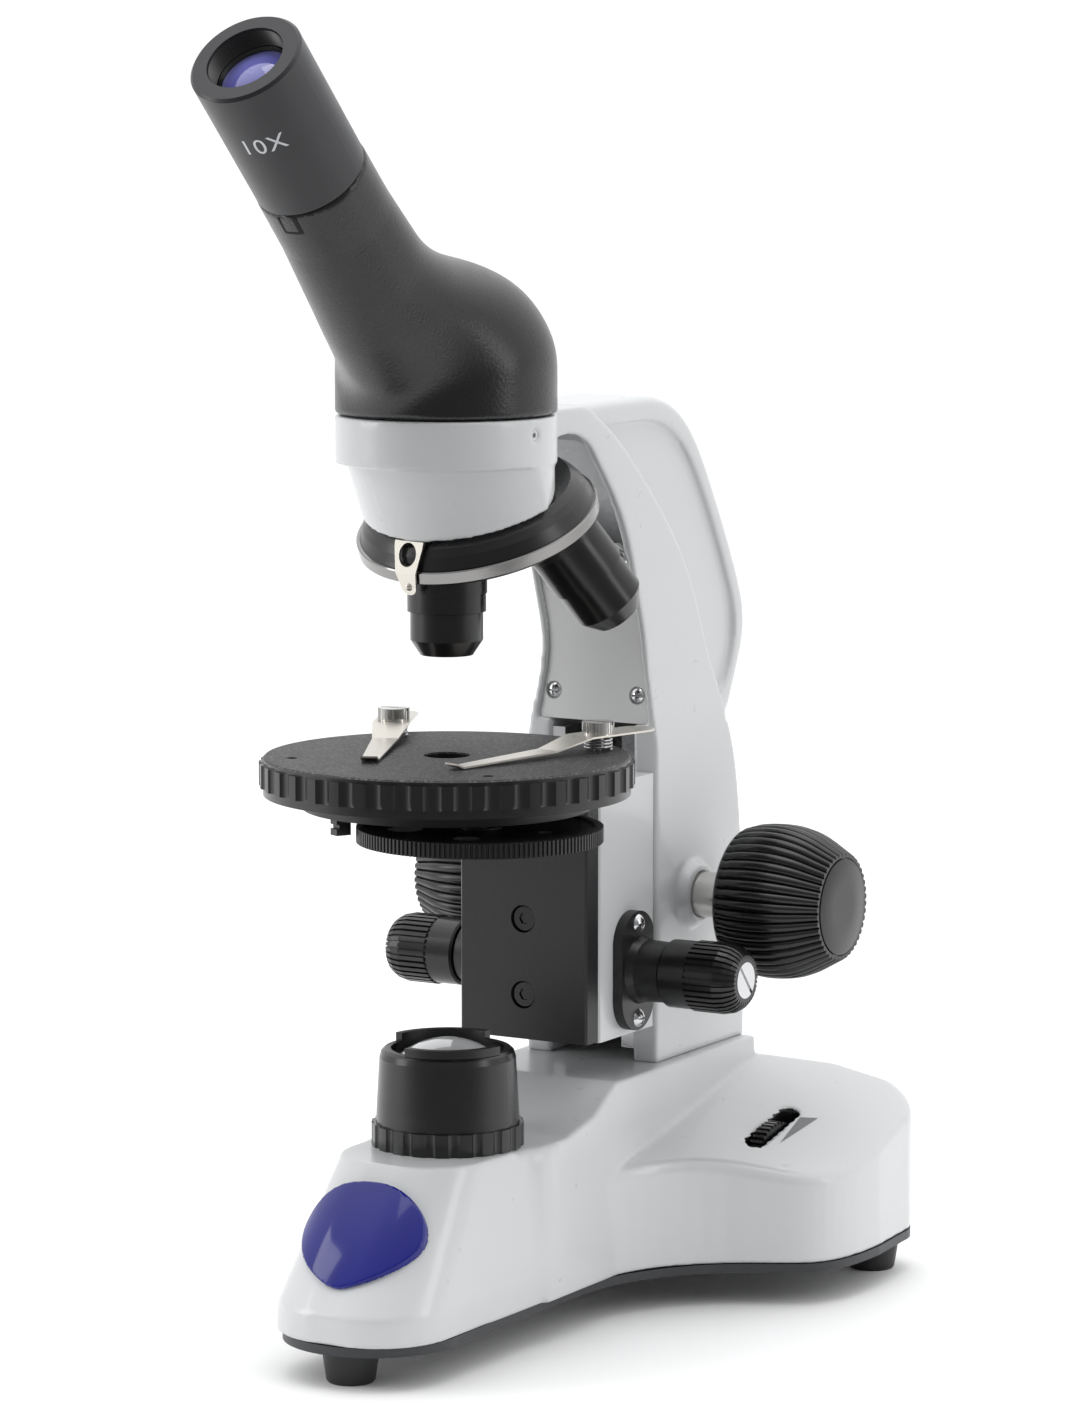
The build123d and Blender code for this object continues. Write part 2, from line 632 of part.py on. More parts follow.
def nosepiece_turret():
    """A domed disc on the slanted pivot, with one threaded boss for each objective."""
    dome = TURRET_CUT + 0.5
    body = turned([(PIVOT_RADIUS + RUN, dome), (27.6, dome), (29.6, 35.4), (31.0, 37.4), (32.0, 39.6),
                   (TURRET_RADIUS, 40.6), (TURRET_RADIUS, TURRET_FACE - 1), (TURRET_RADIUS - 1, TURRET_FACE),
                   (PIVOT_RADIUS + RUN, TURRET_FACE)])
    body = TURRET_FRAME * body
    for frame in objective_frames():
        body += frame * rod(11.0, 46, SHOULDER)
    body -= TURRET_FRAME * (rod(40, GRIP_LOW, GRIP_LOW + GRIP_THICK) - rod(TURRET_RADIUS - 0.5, 38, 50))
    body -= TURRET_FRAME * rod(PIVOT_RADIUS + RUN, 30, 60)
    for frame in objective_frames():
        body -= frame * rod(THREAD_RADIUS + 0.05, SHOULDER - 4.9, SHOULDER + 5)
        body -= frame * rod(LIGHT_BORE, 25, SHOULDER)
    return body


GRIP_LOW = TURRET_PLANE - GRIP_THICK / 2


def nosepiece_ring():
    """A plain polished band with softened edges."""
    top = GRIP_LOW + GRIP_THICK
    bore = TURRET_RADIUS - 0.5
    band = turned([(bore, GRIP_LOW), (GRIP_RADIUS - 0.3, GRIP_LOW), (GRIP_RADIUS, GRIP_LOW + 0.3),
                   (GRIP_RADIUS, top - 0.3), (GRIP_RADIUS - 0.3, top), (bore, top)])
    return TURRET_FRAME * band


def objective(outline, tip_bore):
    """A hollow barrel from its thread to its tip; the outline starts at the shoulder."""
    thread = [(6.5, SHOULDER - 4.8), (THREAD_RADIUS, SHOULDER - 4.8), (THREAD_RADIUS, SHOULDER)]
    tip = outline[-1][1]
    inside = [(tip_bore, tip), (tip_bore, tip - 2.5), (6.5, tip - 6)]
    return turned(thread + outline + inside)


OBJECTIVE_4X = [(10.7, SHOULDER), (10.7, 62.0), (9.9, 62.3), (9.9, 69.8), (7.2, 73.9)]
OBJECTIVE_10X = [(10.8, SHOULDER), (10.8, 69.0), (10.2, 69.3), (10.2, 79.4), (6.8, 84.3)]
OBJECTIVE_40X = [(10.8, SHOULDER), (10.8, 69.0), (10.2, 69.3), (10.2, 83.0), (6.6, 92.0), (4.8, 92.4),
                 (4.3, 98.0)]


def front_lens(radius, tip):
    """A small lens that stands just inside the mouth of an objective."""
    return (Pos(0, 0, tip - 8.2) * Sphere(8.2)) & rod(radius, tip - 2.4, tip)


# ---------------------------------------------------------------- head and eyepiece
def head_housing():
    dome = Pos(0, 0, HEAD_WALL_TOP) * scale(Sphere(HEAD_RADIUS), by=(1, 1, HEAD_DOME / HEAD_RADIUS))
    dome = dome & rod(HEAD_RADIUS + 1, HEAD_WALL_TOP - 2, 300)
    body = rod(HEAD_RADIUS, HEAD_BOTTOM, HEAD_WALL_TOP) + dome
    tube = turned([(0, 14), (18.6, 14), (17.6, 45), (15.6, 78), (15.4, TUBE_END), (0, TUBE_END)])
    body = body + (TUBE_FRAME * tube & brick((-40, 40), (-90, 20), (HEAD_BOTTOM, 400)))
    body -= rod(24, HEAD_BOTTOM + 3, 274)
    body -= rod(12, HEAD_BOTTOM - 1, 262)
    body -= TUBE_FRAME * rod(SLEEVE_RADIUS + RUN, 26, 110)
    return body - latch_groove()


def latch_groove():
    """A small U-shaped groove on the underside of the tube, just below the seam."""
    top = TUBE_END - 0.8
    groove = brick((-3.0, 3.0), (13, 18), (top - 5.8, top))
    groove -= brick((-1.8, 2.2), (10, 20), (top - 5.0, top + 3))
    groove = groove & (rod(17, 80, 99) - rod(14.7, 80, 99))
    return TUBE_FRAME * Rot(0, 0, LATCH_TURN) * groove


def head_dovetail():
    flange = rod(20, 249.3, HEAD_BOTTOM) - rod(11, 240, 270)
    groove = rod(21, 250.6, 252.4) - rod(19.2, 250, 253)
    return flange - groove


def prism_mount():
    plate = brick((-13, 13), (-13, 13), (HEAD_BOTTOM + 3, HEAD_BOTTOM + 5)) - rod(8, 250, 270)
    cheek = brick((11.2, 13), (-10, 10), (HEAD_BOTTOM + 5, 271))
    return [plate] + both_sides(cheek)


def prism():
    points = [(-10, HEAD_BOTTOM + 5), (10, HEAD_BOTTOM + 5), (10, 266), (2, 271.5), (-10, 266)]
    return side_polygon(points, 11.0)


def eyepiece_barrel():
    """A straight barrel whose mouth is cut with fine grooves, down to the lens."""
    grooves = []
    for step in range(9):
        height = EYEPIECE_TOP - 0.6 - 0.6 * step
        grooves += [(MOUTH_RADIUS, height), (MOUTH_RADIUS + 0.35, height - 0.3)]
    profile = [(SLEEVE_RADIUS, 62), (SLEEVE_RADIUS, TUBE_END + GAP), (EYEPIECE_RADIUS, TUBE_END + GAP),
               (EYEPIECE_RADIUS, EYEPIECE_TOP - 0.8), (EYEPIECE_RADIUS - 0.8, EYEPIECE_TOP),
               (MOUTH_RADIUS + 0.2, EYEPIECE_TOP)]
    return TUBE_FRAME * turned(profile + grooves + [(MOUTH_RADIUS, EYEPIECE_TOP - 6), (MOUTH_RADIUS, 62)])


def eye_lens():
    lens = (Pos(0, 0, EYEPIECE_TOP - 23.6) * Sphere(19)) & rod(9.6, 125.5, EYEPIECE_TOP)
    return TUBE_FRAME * lens


def eye_lens_ring():
    ring = turned([(9.25, 130.4), (MOUTH_RADIUS, 130.4), (MOUTH_RADIUS, 131.2), (9.9, 131.2)])
    return TUBE_FRAME * ring


def lens_seat():
    seat = turned([(8.2, 124.2), (MOUTH_RADIUS, 124.2), (MOUTH_RADIUS, 130.4), (9.6, 130.4), (9.6, 125.5),
                   (8.2, 125.5)])
    return TUBE_FRAME * seat


def field_stop():
    return TUBE_FRAME * (rod(MOUTH_RADIUS, 98, 99) - rod(9.0, 90, 110))


def field_lens():
    lens = (Pos(0, 0, 86) * Sphere(21.5)) & rod(MOUTH_RADIUS, 64.5, 70)
    return TUBE_FRAME * lens


# ---------------------------------------------------------------- stage
def clip_place(side):
    angle = radians(CLIP_ANGLE if side > 0 else 180 - CLIP_ANGLE) + radians(STAGE_TURN)
    return CLIP_RADIUS * cos(angle), CLIP_RADIUS * sin(angle)


def stage_plate():
    """The rotating stage: a flat disc over a fluted grip rim, with a bearing bore below."""
    body = rod(STAGE_RADIUS, 161.8, STAGE_TOP)
    body = chamfer(body.edges().sort_by(Axis.Z)[-1], 0.5)
    body += rod(STAGE_RIM - 1.1, 160, 161.8)
    body += fluted_disc(STAGE_RIM, 3.4, 1.1, 40, 155.1, 161.6)
    body += rod(STAGE_RADIUS, STAGE_BOTTOM, 155.1)
    body -= rod(BEARING_RADIUS + RUN, 140, 158.9)
    body -= rod(STAGE_HOLE, 150, 170)
    for side in (-1, 1):
        x, y = clip_place(side)
        body -= rod(1.5, 156, 170, x, y)
        body -= rod(1.5, 156, 170, x, -y)
    return body


def clip_screws():
    screws = []
    for side in (-1, 1):
        x, y = clip_place(side)
        head = toothed_disc(4.45, 4.2, 36, 167.7, 171) + rod(1.45, 156.2, 167.7)
        screws.append(Pos(x, y, 0) * (head - brick((-5, 5), (-0.45, 0.45), (170.3, 172))))
    return screws


def clip_springs():
    """A coil of four turns round each clip screw, between the stage and the blade."""
    springs = []
    for side in (-1, 1):
        x, y = clip_place(side)
        wire_radius = 0.35
        path = Helix(pitch=0.92, height=2.9, radius=3.6)
        section = Plane(origin=path @ 0, z_dir=path % 0) * Circle(wire_radius)
        springs.append(Pos(x, y, STAGE_TOP + 0.37) * sweep(section, path=path))
    return springs


def clip_blade(side, aim):
    """A bent leaf: flat round its screw, a slope down, then a straight finger with a turned-up tip."""
    thick = 0.5
    edge = [(20, 167.7), (-7, 167.7), (-19.5, 165.0), (-53, 163.8), (-55.6, 164.9)]
    low = [(0, y, z - thick) for y, z in edge]
    high = [(0, y, z) for y, z in reversed(edge)]
    leaf = extrude(make_face(Polyline(*(low + high), close=True)), 10, dir=(1, 0, 0), both=True)
    right = [(5.2, 14.8), (5.2, -7), (3.6, -20), (2.3, -56)]
    left = [(-x, y) for x, y in reversed(right)]
    plan = Polyline(*right, *left, close=True)
    shape = extrude(Pos(0, 0, 160) * make_face(plan), 12) + rod(5.2, 160, 172, 0, 14.6)
    leaf = (leaf & shape) - rod(1.6, 150, 180)
    x, y = clip_place(side)
    return Pos(x, y, 0) * Rot(0, 0, aim) * leaf


# the blades point towards the specimen; angles about Z from the -Y direction
LEFT_CLIP_AIM = 25.0
RIGHT_CLIP_AIM = -15.0


def stage_support():
    body = rod(SUPPORT_RADIUS, SUPPORT_LOW, SUPPORT_HIGH)
    body += brick((-BLOCK_HALF, BLOCK_HALF), (0, CARRIER_BACK), (SUPPORT_LOW, SUPPORT_HIGH))
    body += rod(BEARING_RADIUS, SUPPORT_HIGH, 158.6)
    x, y = DISC_CENTRE
    body += rod(4.5, DISC_HIGH + GAP, SUPPORT_LOW, x, y)
    body -= rod(9, 140, 160)
    body -= rod(1.5, 140, 151, x, y)
    body -= rod(1.5, 140, 152, *FILTER_PIVOT)
    for side in (-1, 1):
        body -= rod(1.6, 140, 160, side * 13, 44)
        body -= rod(3.0, 150.0, 160, side * 13, 44)
    return body


def support_screws():
    screws = []
    for side in (-1, 1):
        screw = rod(1.5, 139, 150.0) + rod(2.8, 150.0, 152.2) - rod(1.2, 151, 153)
        screws.append(Pos(side * 13, 44, 0) * screw)
    return screws


def condenser_holder():
    return turned([(7.4, SUPPORT_LOW), (9, SUPPORT_LOW), (9, 158.4), (6.4, 158.4), (6.4, 157.4),
                   (7.4, 157.4)])


def condenser_lens():
    return (Pos(0, 0, 148.2) * Sphere(9.2)) & rod(7.4, 151.5, 157.3)


def stage_carrier():
    body = brick((-BLOCK_HALF, BLOCK_HALF), (CARRIER_FRONT, CARRIER_BACK), (CARRIER_LOW, SUPPORT_LOW))
    body = chamfer(body.edges().filter_by(Axis.Z), 0.6)
    for z in CARRIER_SCREWS:
        body -= Pos(0, CARRIER_FRONT, z) * Rot(90, 0, 0) * Cylinder(3.9, 8.4)
        body -= Pos(0, CARRIER_FRONT, z) * Rot(90, 0, 0) * Cylinder(2.1, 40)
    for side in (-1, 1):
        body -= rod(1.5, 138, 150, side * 13, 44)
    return body


def carrier_screws():
    screws = []
    for z in CARRIER_SCREWS:
        head = Cylinder(3.4, 3.4) - Pos(0, 0, 1.2) * extrude(RegularPolygon(1.75, 6), 3)
        shank = Pos(0, 0, -5.2) * Cylinder(2.0, 7)
        screws.append(Pos(0, CARRIER_FRONT + 2.5, z) * Rot(90, 0, 0) * (head + shank))
    return screws


def carrier_rail():
    rail = brick((-7, 7), (CARRIER_BACK, 54), (84, 120))
    for z in CARRIER_SCREWS:
        rail -= Pos(0, 50, z) * Rot(90, 0, 0) * Cylinder(2.1, 40)
    return rail


def aperture_holes():
    """Five apertures on a circle through the optical axis; the widest is in use."""
    x, y = DISC_CENTRE
    pitch = hypot(x, y)
    start = atan2(-y, -x)
    return [(pitch * cos(start + 2 * pi * step / 5), pitch * sin(start + 2 * pi * step / 5), 6.0 - 1.2 * step)
            for step in range(5)]


def diaphragm_disc():
    body = toothed_disc(DISC_RADIUS, DISC_RADIUS - 0.45, 150, DISC_LOW, DISC_HIGH)
    body -= rod(DISC_RADIUS - 2.2, DISC_HIGH - 0.5, DISC_HIGH + 1)
    body += rod(6.0, DISC_LOW, DISC_HIGH)
    body -= rod(2.0 + RUN, DISC_LOW - 1, DISC_HIGH + 1)
    for x, y, radius in aperture_holes():
        body -= rod(radius, DISC_LOW - 1, DISC_HIGH + 1, x, y)
    return Pos(DISC_CENTRE[0], DISC_CENTRE[1], 0) * body


def diaphragm_screw():
    x, y = DISC_CENTRE
    screw = rod(4.2, 139.8, DISC_LOW - GAP) + rod(2.0, DISC_LOW - GAP, DISC_HIGH + GAP)
    screw += rod(1.45, DISC_HIGH + GAP, 150.8)
    return Pos(x, y, 0) * (screw - brick((-5, 5), (-0.45, 0.45), (139, 140.6)))


def filter_holder():
    """A flat swing-out ring under the condenser, with a finger lever at its front left."""
    x, y = FILTER_PIVOT
    low, high = DISC_HIGH + GAP, SUPPORT_LOW - GAP
    body = rod(13, low, high) + rod(4, low, high, x, y)
    link = Polyline((x - 3.5, y), (x + 3, y + 3), (-2, 12), (-12.8, -14), (-17.3, -26.5), (-19.8, -25),
                    (-16.5, -8), close=True)
    body += extrude(Pos(0, 0, low) * make_face(link), high - low)
    lever = brick((-1.7, 1.7), (-2.2, 2.2), (DISC_LOW + 0.8, high))
    lever -= brick((-3, 3), (-3, -1.4), (DISC_LOW + 2.6, DISC_LOW + 3.8))
    body += Pos(-18.0, -25.6, 0) * Rot(0, 0, -28) * lever
    body -= rod(10.5, low + 0.5, high + 1)
    body -= rod(9, low - 1, high)
    return body - rod(1.55, low - 1, high + 1, x, y)


def filter_glass():
    low = DISC_HIGH + GAP + 0.5
    return rod(10.45, low, low + 1.2)


def filter_screw():
    x, y = FILTER_PIVOT
    low = DISC_HIGH + GAP
    screw = rod(1.5, low - 0.1, 151.8) + rod(3.2, low - 2.0, low - 0.1)
    return Pos(x, y, 0) * screw


# ---------------------------------------------------------------- focus
def focus_block():
    body = brick((-BLOCK_HALF, BLOCK_HALF), (BLOCK_FRONT, BLOCK_BACK), (BLOCK_LOW, BLOCK_HIGH))
    body = chamfer(body.edges().filter_by(Axis.Z), 0.5)
    body -= brick((-7.3, 7.3), (40, 54.3), (70, 160))
    body -= rod_x(FINE_SHAFT + RUN, -40, 40, FINE_Y, FINE_Z)
    body -= rod_x(4.0, -16, 16, FINE_Y, FINE_Z)
    for z in BRACKET_SCREWS:
        body -= rod_x(1.25, -40, -12, BRACKET_Y, z) + rod_x(1.25, 12, 40, BRACKET_Y, z)
    return body


def focus_slide():
    return brick((-9, 9), (BLOCK_BACK, 89.7), (80, 148))


def focus_rack():
    """A straight rack; the gap between two teeth faces the pinion at rest."""
    pitch = pi * MODULE
    line = COARSE_Y - MODULE * PINION_TEETH / 2
    teeth = 7
    low = COARSE_Z - teeth * pitch
    high = COARSE_Z + teeth * pitch
    points = [(89.7, low), (line - 1.1 * MODULE, low)]
    for tooth in range(2 * teeth):
        middle = low + (tooth + 0.5) * pitch
        points += [(line - 1.1 * MODULE, middle - 0.95), (line + 0.85 * MODULE, middle - 0.25),
                   (line + 0.85 * MODULE, middle + 0.25), (line - 1.1 * MODULE, middle + 0.95)]
    points += [(line - 1.1 * MODULE, high), (89.7, high)]
    return side_polygon(points, 4)


def coarse_pinion():
    step = 2 * pi / PINION_TEETH
    pitch_radius = MODULE * PINION_TEETH / 2
    flank = [(pitch_radius - 1.2, 0.185), (pitch_radius, 0.098), (pitch_radius + 0.85, 0.038)]
    points = []
    for tooth in range(PINION_TEETH):
        middle = tooth * step
        points += [(radius, middle - half) for radius, half in flank]
        points += [(radius, middle + half) for radius, half in reversed(flank)]
    outline = [(COARSE_Y - radius * cos(angle), COARSE_Z + radius * sin(angle)) for radius, angle in points]
    return side_polygon(outline, 6)


def coarse_shaft():
    return rod_x(COARSE_SHAFT, -61, 68, COARSE_Y, COARSE_Z) + coarse_pinion()


def coarse_knob(inner, outer):
    """A barrel-shaped knob whose ribs run down to a flat end."""
    length = outer - inner
    outline = [(0, 0), (15.5, 0), (19.2, 1.6), (20.9, 4.5), (21.8, 9), (COARSE_RADIUS, 14), (21.4, 19.5),
               (19.8, 24.5), (17.4, 29), (15.3, length - 0.3), (0, length - 0.3)]
    body = ribbed(outline, 1.1, 44, length) - rod(13.8, length - 1.6, length + 1)
    body -= rod(COARSE_SHAFT, -1, length + 1)
    return Pos(inner, COARSE_Y, COARSE_Z) * Rot(0, 90, 0) * body


def coarse_cap(inner, outer):
    return rod_x(13.7, outer - 1.6, outer, COARSE_Y, COARSE_Z)


def fine_bracket():
    """A plate with round ends cut flat at the rear, and a tapered neck that carries the shaft."""
    plate = extrude(SlotOverall(34, 18.4), 3.1)
    plate = Pos(BLOCK_HALF, BRACKET_Y, FINE_Z) * Rot(0, 90, 0) * plate
    plate = plate & brick((20, 30), (50, 73), (60, 130))
    cone = turned([(0, 3), (9.6, 3), (8.8, 5.4), (8.5, 12.6), (0, 12.6)])
    neck = Pos(BLOCK_HALF, FINE_Y, FINE_Z) * Rot(0, 90, 0) * cone
    body = plate + (neck & brick((20, 40), (50, 76), (60, 130)))
    body -= rod_x(FINE_SHAFT + RUN, 10, 40, FINE_Y, FINE_Z)
    for z in BRACKET_SCREWS:
        body -= rod_x(1.6, 10, 40, BRACKET_Y, z)
    return body


def bracket_screws():
    screws = []
    for z in BRACKET_SCREWS:
        screw = Pos(BLOCK_HALF + 3.1, BRACKET_Y, z) * Rot(0, 90, 0) * cross_screw(2.7, 1.2, 10)
        screws += both_sides(screw)
    return screws


def fine_shaft():
    return rod_x(FINE_SHAFT, -55.5, 55.5, FINE_Y, FINE_Z)


def fine_knob():
    """A slim knob: smooth sleeve, ribbed grip and a rounded end."""
    sleeve = turned([(0, 0), (9.1, 0), (9.6, 0.6), (9.6, 8.6), (0, 8.6)])
    grip = [(0, 0), (9.6, 0), (FINE_RADIUS, 0.6), (FINE_RADIUS, 9.4), (9.4, 12.2), (8.2, 14.2),
            (7.0, 15.2), (0, 15.2)]
    body = sleeve + Pos(0, 0, 8.2) * ribbed(grip, 0.8, 34, 16)
    body = body - rod(FINE_SHAFT, -1, 30) - rod(5.2, 22.2, 30)
    return Pos(33.6, FINE_Y, FINE_Z) * Rot(0, 90, 0) * body


def fine_knob_screw():
    head = rod(5.1, 22.2, 23.5) - brick((-6, 6), (-0.5, 0.5), (22.9, 24))
    return Pos(33.6, FINE_Y, FINE_Z) * Rot(0, 90, 0) * Rot(0, 0, 40) * head


# ---------------------------------------------------------------- write every node
def write(name, shape):
    if isinstance(shape, (list, tuple, ShapeList)):
        solids = [solid for piece in shape for solid in piece.solids()]
    else:
        solids = list(shape.solids())
    moved = [Pos(0, AXIS_Y, 0) * solid for solid in solids]
    whole = moved[0] if len(moved) == 1 else Compound(children=moved)
    export_step(whole, f"parts/{name}.step")


def main():
    os.makedirs("parts", exist_ok=True)
    frames = objective_frames()
    nodes = {
        "base_casting": base_casting(),
        "bottom_plate": [bottom_plate(), battery_cover()],
        "rubber_feet": [rubber_foot(x, y) for x, y in FEET],
        "base_screws": [foot_screw(x, y) for x, y in FEET] + arm_bolts(),
        "badge": badge(),
        "illuminator_ring": illuminator_ring(),
        "illuminator_housing": illuminator_housing(),
        "collector_lens": collector_lens(),
        "led_heat_sink": led_heat_sink(),
        "led_board": [led_board(), led_emitter()],
        "battery_cells": battery_cells(),
        "battery_holder": battery_holder(),
        "control_board": [control_board()] + board_spacers(),
        "potentiometer": potentiometer(),
        "dial_wheel": dial_wheel(),
        "charge_socket": charge_socket(),
        "arm_casting": arm_casting(),
        "arm_cover_plate": arm_cover_plate(),
        "cover_screws": cover_screws(),
        "head_set_screw": head_set_screw(),
        "guide_rails": guide_rails(),
        "coarse_bushes": coarse_bushes(),
        "coarse_shaft": coarse_shaft(),
        "coarse_knob_left": mirror_pieces([coarse_knob(30, 63), coarse_cap(30, 63)]),
        "coarse_knob_right": [coarse_knob(37, 70), coarse_cap(37, 70)],
        "click_spring": [click_spring(), click_rivet()],
        "nosepiece_pivot": [nosepiece_mount(), nosepiece_pivot()],
        "nosepiece_turret": nosepiece_turret(),
        "nosepiece_ring": nosepiece_ring(),
        "objective_4x": frames[0] * objective(OBJECTIVE_4X, 5.0),
        "objective_10x": frames[1] * objective(OBJECTIVE_10X, 4.0),
        "objective_40x": frames[2] * objective(OBJECTIVE_40X, 2.2),
        "objective_lenses": [frame * front_lens(radius, tip) for frame, radius, tip in
                             zip(frames, (5.0, 4.0, 2.2), (73.9, 84.3, 98.0))],
        "head_housing": head_housing(),
        "head_dovetail": [head_dovetail()] + prism_mount(),
        "prism": prism(),
        "eyepiece_barrel": eyepiece_barrel(),
        "eyepiece_optics": [eye_lens(), field_lens()],
        "eyepiece_rings": [eye_lens_ring(), lens_seat(), field_stop()],
        "stage_plate": stage_plate(),
        "clip_screws": clip_screws(),
        "clip_springs": clip_springs(),
        "clip_blade_left": clip_blade(-1, LEFT_CLIP_AIM),
        "clip_blade_right": clip_blade(1, RIGHT_CLIP_AIM),
        "stage_support": [stage_support(), condenser_holder()],
        "condenser_lens": condenser_lens(),
        "stage_carrier": stage_carrier(),
        "carrier_screws": carrier_screws() + support_screws(),
        "carrier_rail": carrier_rail(),
        "diaphragm_disc": diaphragm_disc(),
        "pivot_screws": [diaphragm_screw(), filter_screw()],
        "filter_holder": filter_holder(),
        "filter_glass": filter_glass(),
        "focus_block": focus_block(),
        "focus_slide": [focus_slide(), focus_rack()],
        "fine_brackets": both_sides(fine_bracket()),
        "bracket_screws": bracket_screws(),
        "fine_shaft": fine_shaft(),
        "fine_knobs": both_sides(fine_knob()),
        "fine_knob_screws": both_sides(fine_knob_screw()),
    }
    for name, shape in nodes.items():
        write(name, shape)


main()
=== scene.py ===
import bpy
import bmesh
import json
import math
import numpy as np
from mathutils import Matrix, Vector
from mathutils.bvhtree import BVHTree


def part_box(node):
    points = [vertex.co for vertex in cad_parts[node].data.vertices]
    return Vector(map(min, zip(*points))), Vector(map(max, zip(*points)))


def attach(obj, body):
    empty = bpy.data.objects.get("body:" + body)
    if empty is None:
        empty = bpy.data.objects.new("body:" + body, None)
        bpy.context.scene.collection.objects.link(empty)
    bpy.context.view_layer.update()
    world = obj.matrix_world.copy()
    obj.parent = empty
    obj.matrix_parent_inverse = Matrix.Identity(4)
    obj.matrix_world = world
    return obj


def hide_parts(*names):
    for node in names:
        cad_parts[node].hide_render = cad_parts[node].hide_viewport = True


# Looks of the microscope, in metres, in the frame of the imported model:
# +Z up, -Y towards the user, the table at Z = 0.
# Shapes are worked out in mm, with the optical axis at X = 0, Y = 0.
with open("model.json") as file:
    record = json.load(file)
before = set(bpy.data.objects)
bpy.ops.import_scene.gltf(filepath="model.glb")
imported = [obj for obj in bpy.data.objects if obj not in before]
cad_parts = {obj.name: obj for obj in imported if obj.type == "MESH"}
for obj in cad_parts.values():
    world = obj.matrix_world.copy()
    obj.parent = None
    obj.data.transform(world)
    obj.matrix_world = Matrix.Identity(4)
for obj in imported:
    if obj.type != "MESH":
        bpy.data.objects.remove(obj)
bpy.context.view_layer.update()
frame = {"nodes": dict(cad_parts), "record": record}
NODES = frame["nodes"]
SLOTS = {entry["node"]: entry["material_slot"] for entry in frame["record"]["subparts"]}
MM = 0.001               # one millimetre in metres
PER_METRE = 1000         # millimetres in a metre

stage_low, stage_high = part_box("stage_plate")
STAGE_TOP = Vector(((stage_low.x + stage_high.x) / 2, (stage_low.y + stage_high.y) / 2, stage_high.z))
AXIS_Y = STAGE_TOP.y     # the optical axis stands at X = 0, Y = AXIS_Y
AXIS_SHIFT = np.array((0, AXIS_Y * PER_METRE, 0))

# direction the microscope is seen from
VIEW_AZIMUTH, VIEW_ELEVATION = math.radians(30.4), math.radians(7.3)

# head: a dome on a round foot, and a tube that leans from the optical axis at 45 degrees
DOME_RADIUS, DOME_HEIGHT, DOME_FOOT_Z = 30, 28, 268.0
TUBE_FOOT_Z, TUBE_LEAN = 254.9, math.sqrt(0.5)


def add_object(name, data):
    """A new object in the scene that shows the data."""
    made = bpy.data.objects.new(name, data)
    bpy.context.scene.collection.objects.link(made)
    return made


# ---------------------------------------------------------------- shader nodes
def node(tree, kind, **values):
    """Add a shader node and set its inputs and attributes by name."""
    made = tree.nodes.new(kind)
    for key, value in values.items():
        label = key.replace("_", " ")
        if label in made.inputs:
            made.inputs[label].default_value = value
        else:
            setattr(made, key, value)
    return made


def noise(tree, place, scale, detail):
    """Soft random values at the given place."""
    made = node(tree, "ShaderNodeTexNoise", Scale=scale, Detail=detail)
    tree.links.new(place, made.inputs["Vector"])
    return made.outputs["Fac"]


def map_range(tree, value, source, target, **values):
    """Stretch a value from the source range to the target range."""
    made = node(tree, "ShaderNodeMapRange", **values)
    for socket, level in zip(("From Min", "From Max", "To Min", "To Max"), (*source, *target)):
        made.inputs[socket].default_value = level
    tree.links.new(value, made.inputs["Value"])
    return made.outputs["Result"]


def height_of(tree, place):
    """The upward part of a place or direction."""
    parts = node(tree, "ShaderNodeSeparateXYZ")
    tree.links.new(place, parts.inputs["Vector"])
    return parts.outputs["Z"]


def mix_colours(tree, factor, first, second):
    """Go from the first colour, fixed or from a socket, to the second."""
    made = node(tree, "ShaderNodeMix", data_type="RGBA")
    if isinstance(first, bpy.types.NodeSocket):
        tree.links.new(first, made.inputs["A"])
    else:
        made.inputs["A"].default_value = (*first, 1)
    made.inputs["B"].default_value = (*second, 1)
    tree.links.new(factor, made.inputs["Factor"])
    return made.outputs["Result"]


def add_bump(tree, shader, height, strength, depth):
    """Raise the surface by up to depth mm."""
    bump = node(tree, "ShaderNodeBump", Strength=strength, Distance=depth * MM)
    tree.links.new(height, bump.inputs["Height"])
    tree.links.new(bump.outputs["Normal"], shader.inputs["Normal"])


# ---------------------------------------------------------------- camera and light
def add_camera():
    """A long lens that looks slightly down at the front right of the microscope."""
    distance, aside, above = 1.467, 0.0254, 0.0143
    level = math.cos(VIEW_ELEVATION)
    back = Vector((math.sin(VIEW_AZIMUTH) * level, -math.cos(VIEW_AZIMUTH) * level,
                   math.sin(VIEW_ELEVATION)))
    right = Vector((math.cos(VIEW_AZIMUTH), math.sin(VIEW_AZIMUTH), 0))
    up = back.cross(right)
    data = bpy.data.cameras.new("camera")
    data.sensor_fit = "VERTICAL"
    data.sensor_height = 36
    data.lens = 138.36
    data.clip_start, data.clip_end = 0.1, 20
    camera = add_object("camera", data)
    turn = Matrix((right, up, back)).transposed().to_4x4()
    place = STAGE_TOP + distance * back + aside * right + above * up
    camera.matrix_world = Matrix.Translation(place) @ turn
    bpy.context.scene.camera = camera


def add_area_light(name, place, size, power):
    """A softbox that shines at the middle of the microscope."""
    aim = Vector((0, 0, 0.2))
    data = bpy.data.lights.new(name, "AREA")
    data.shape = "RECTANGLE"
    data.size, data.size_y = size
    data.energy = power
    light = add_object(name, data)
    light.location = place
    light.rotation_euler = (aim - Vector(place)).to_track_quat("-Z", "Y").to_euler()


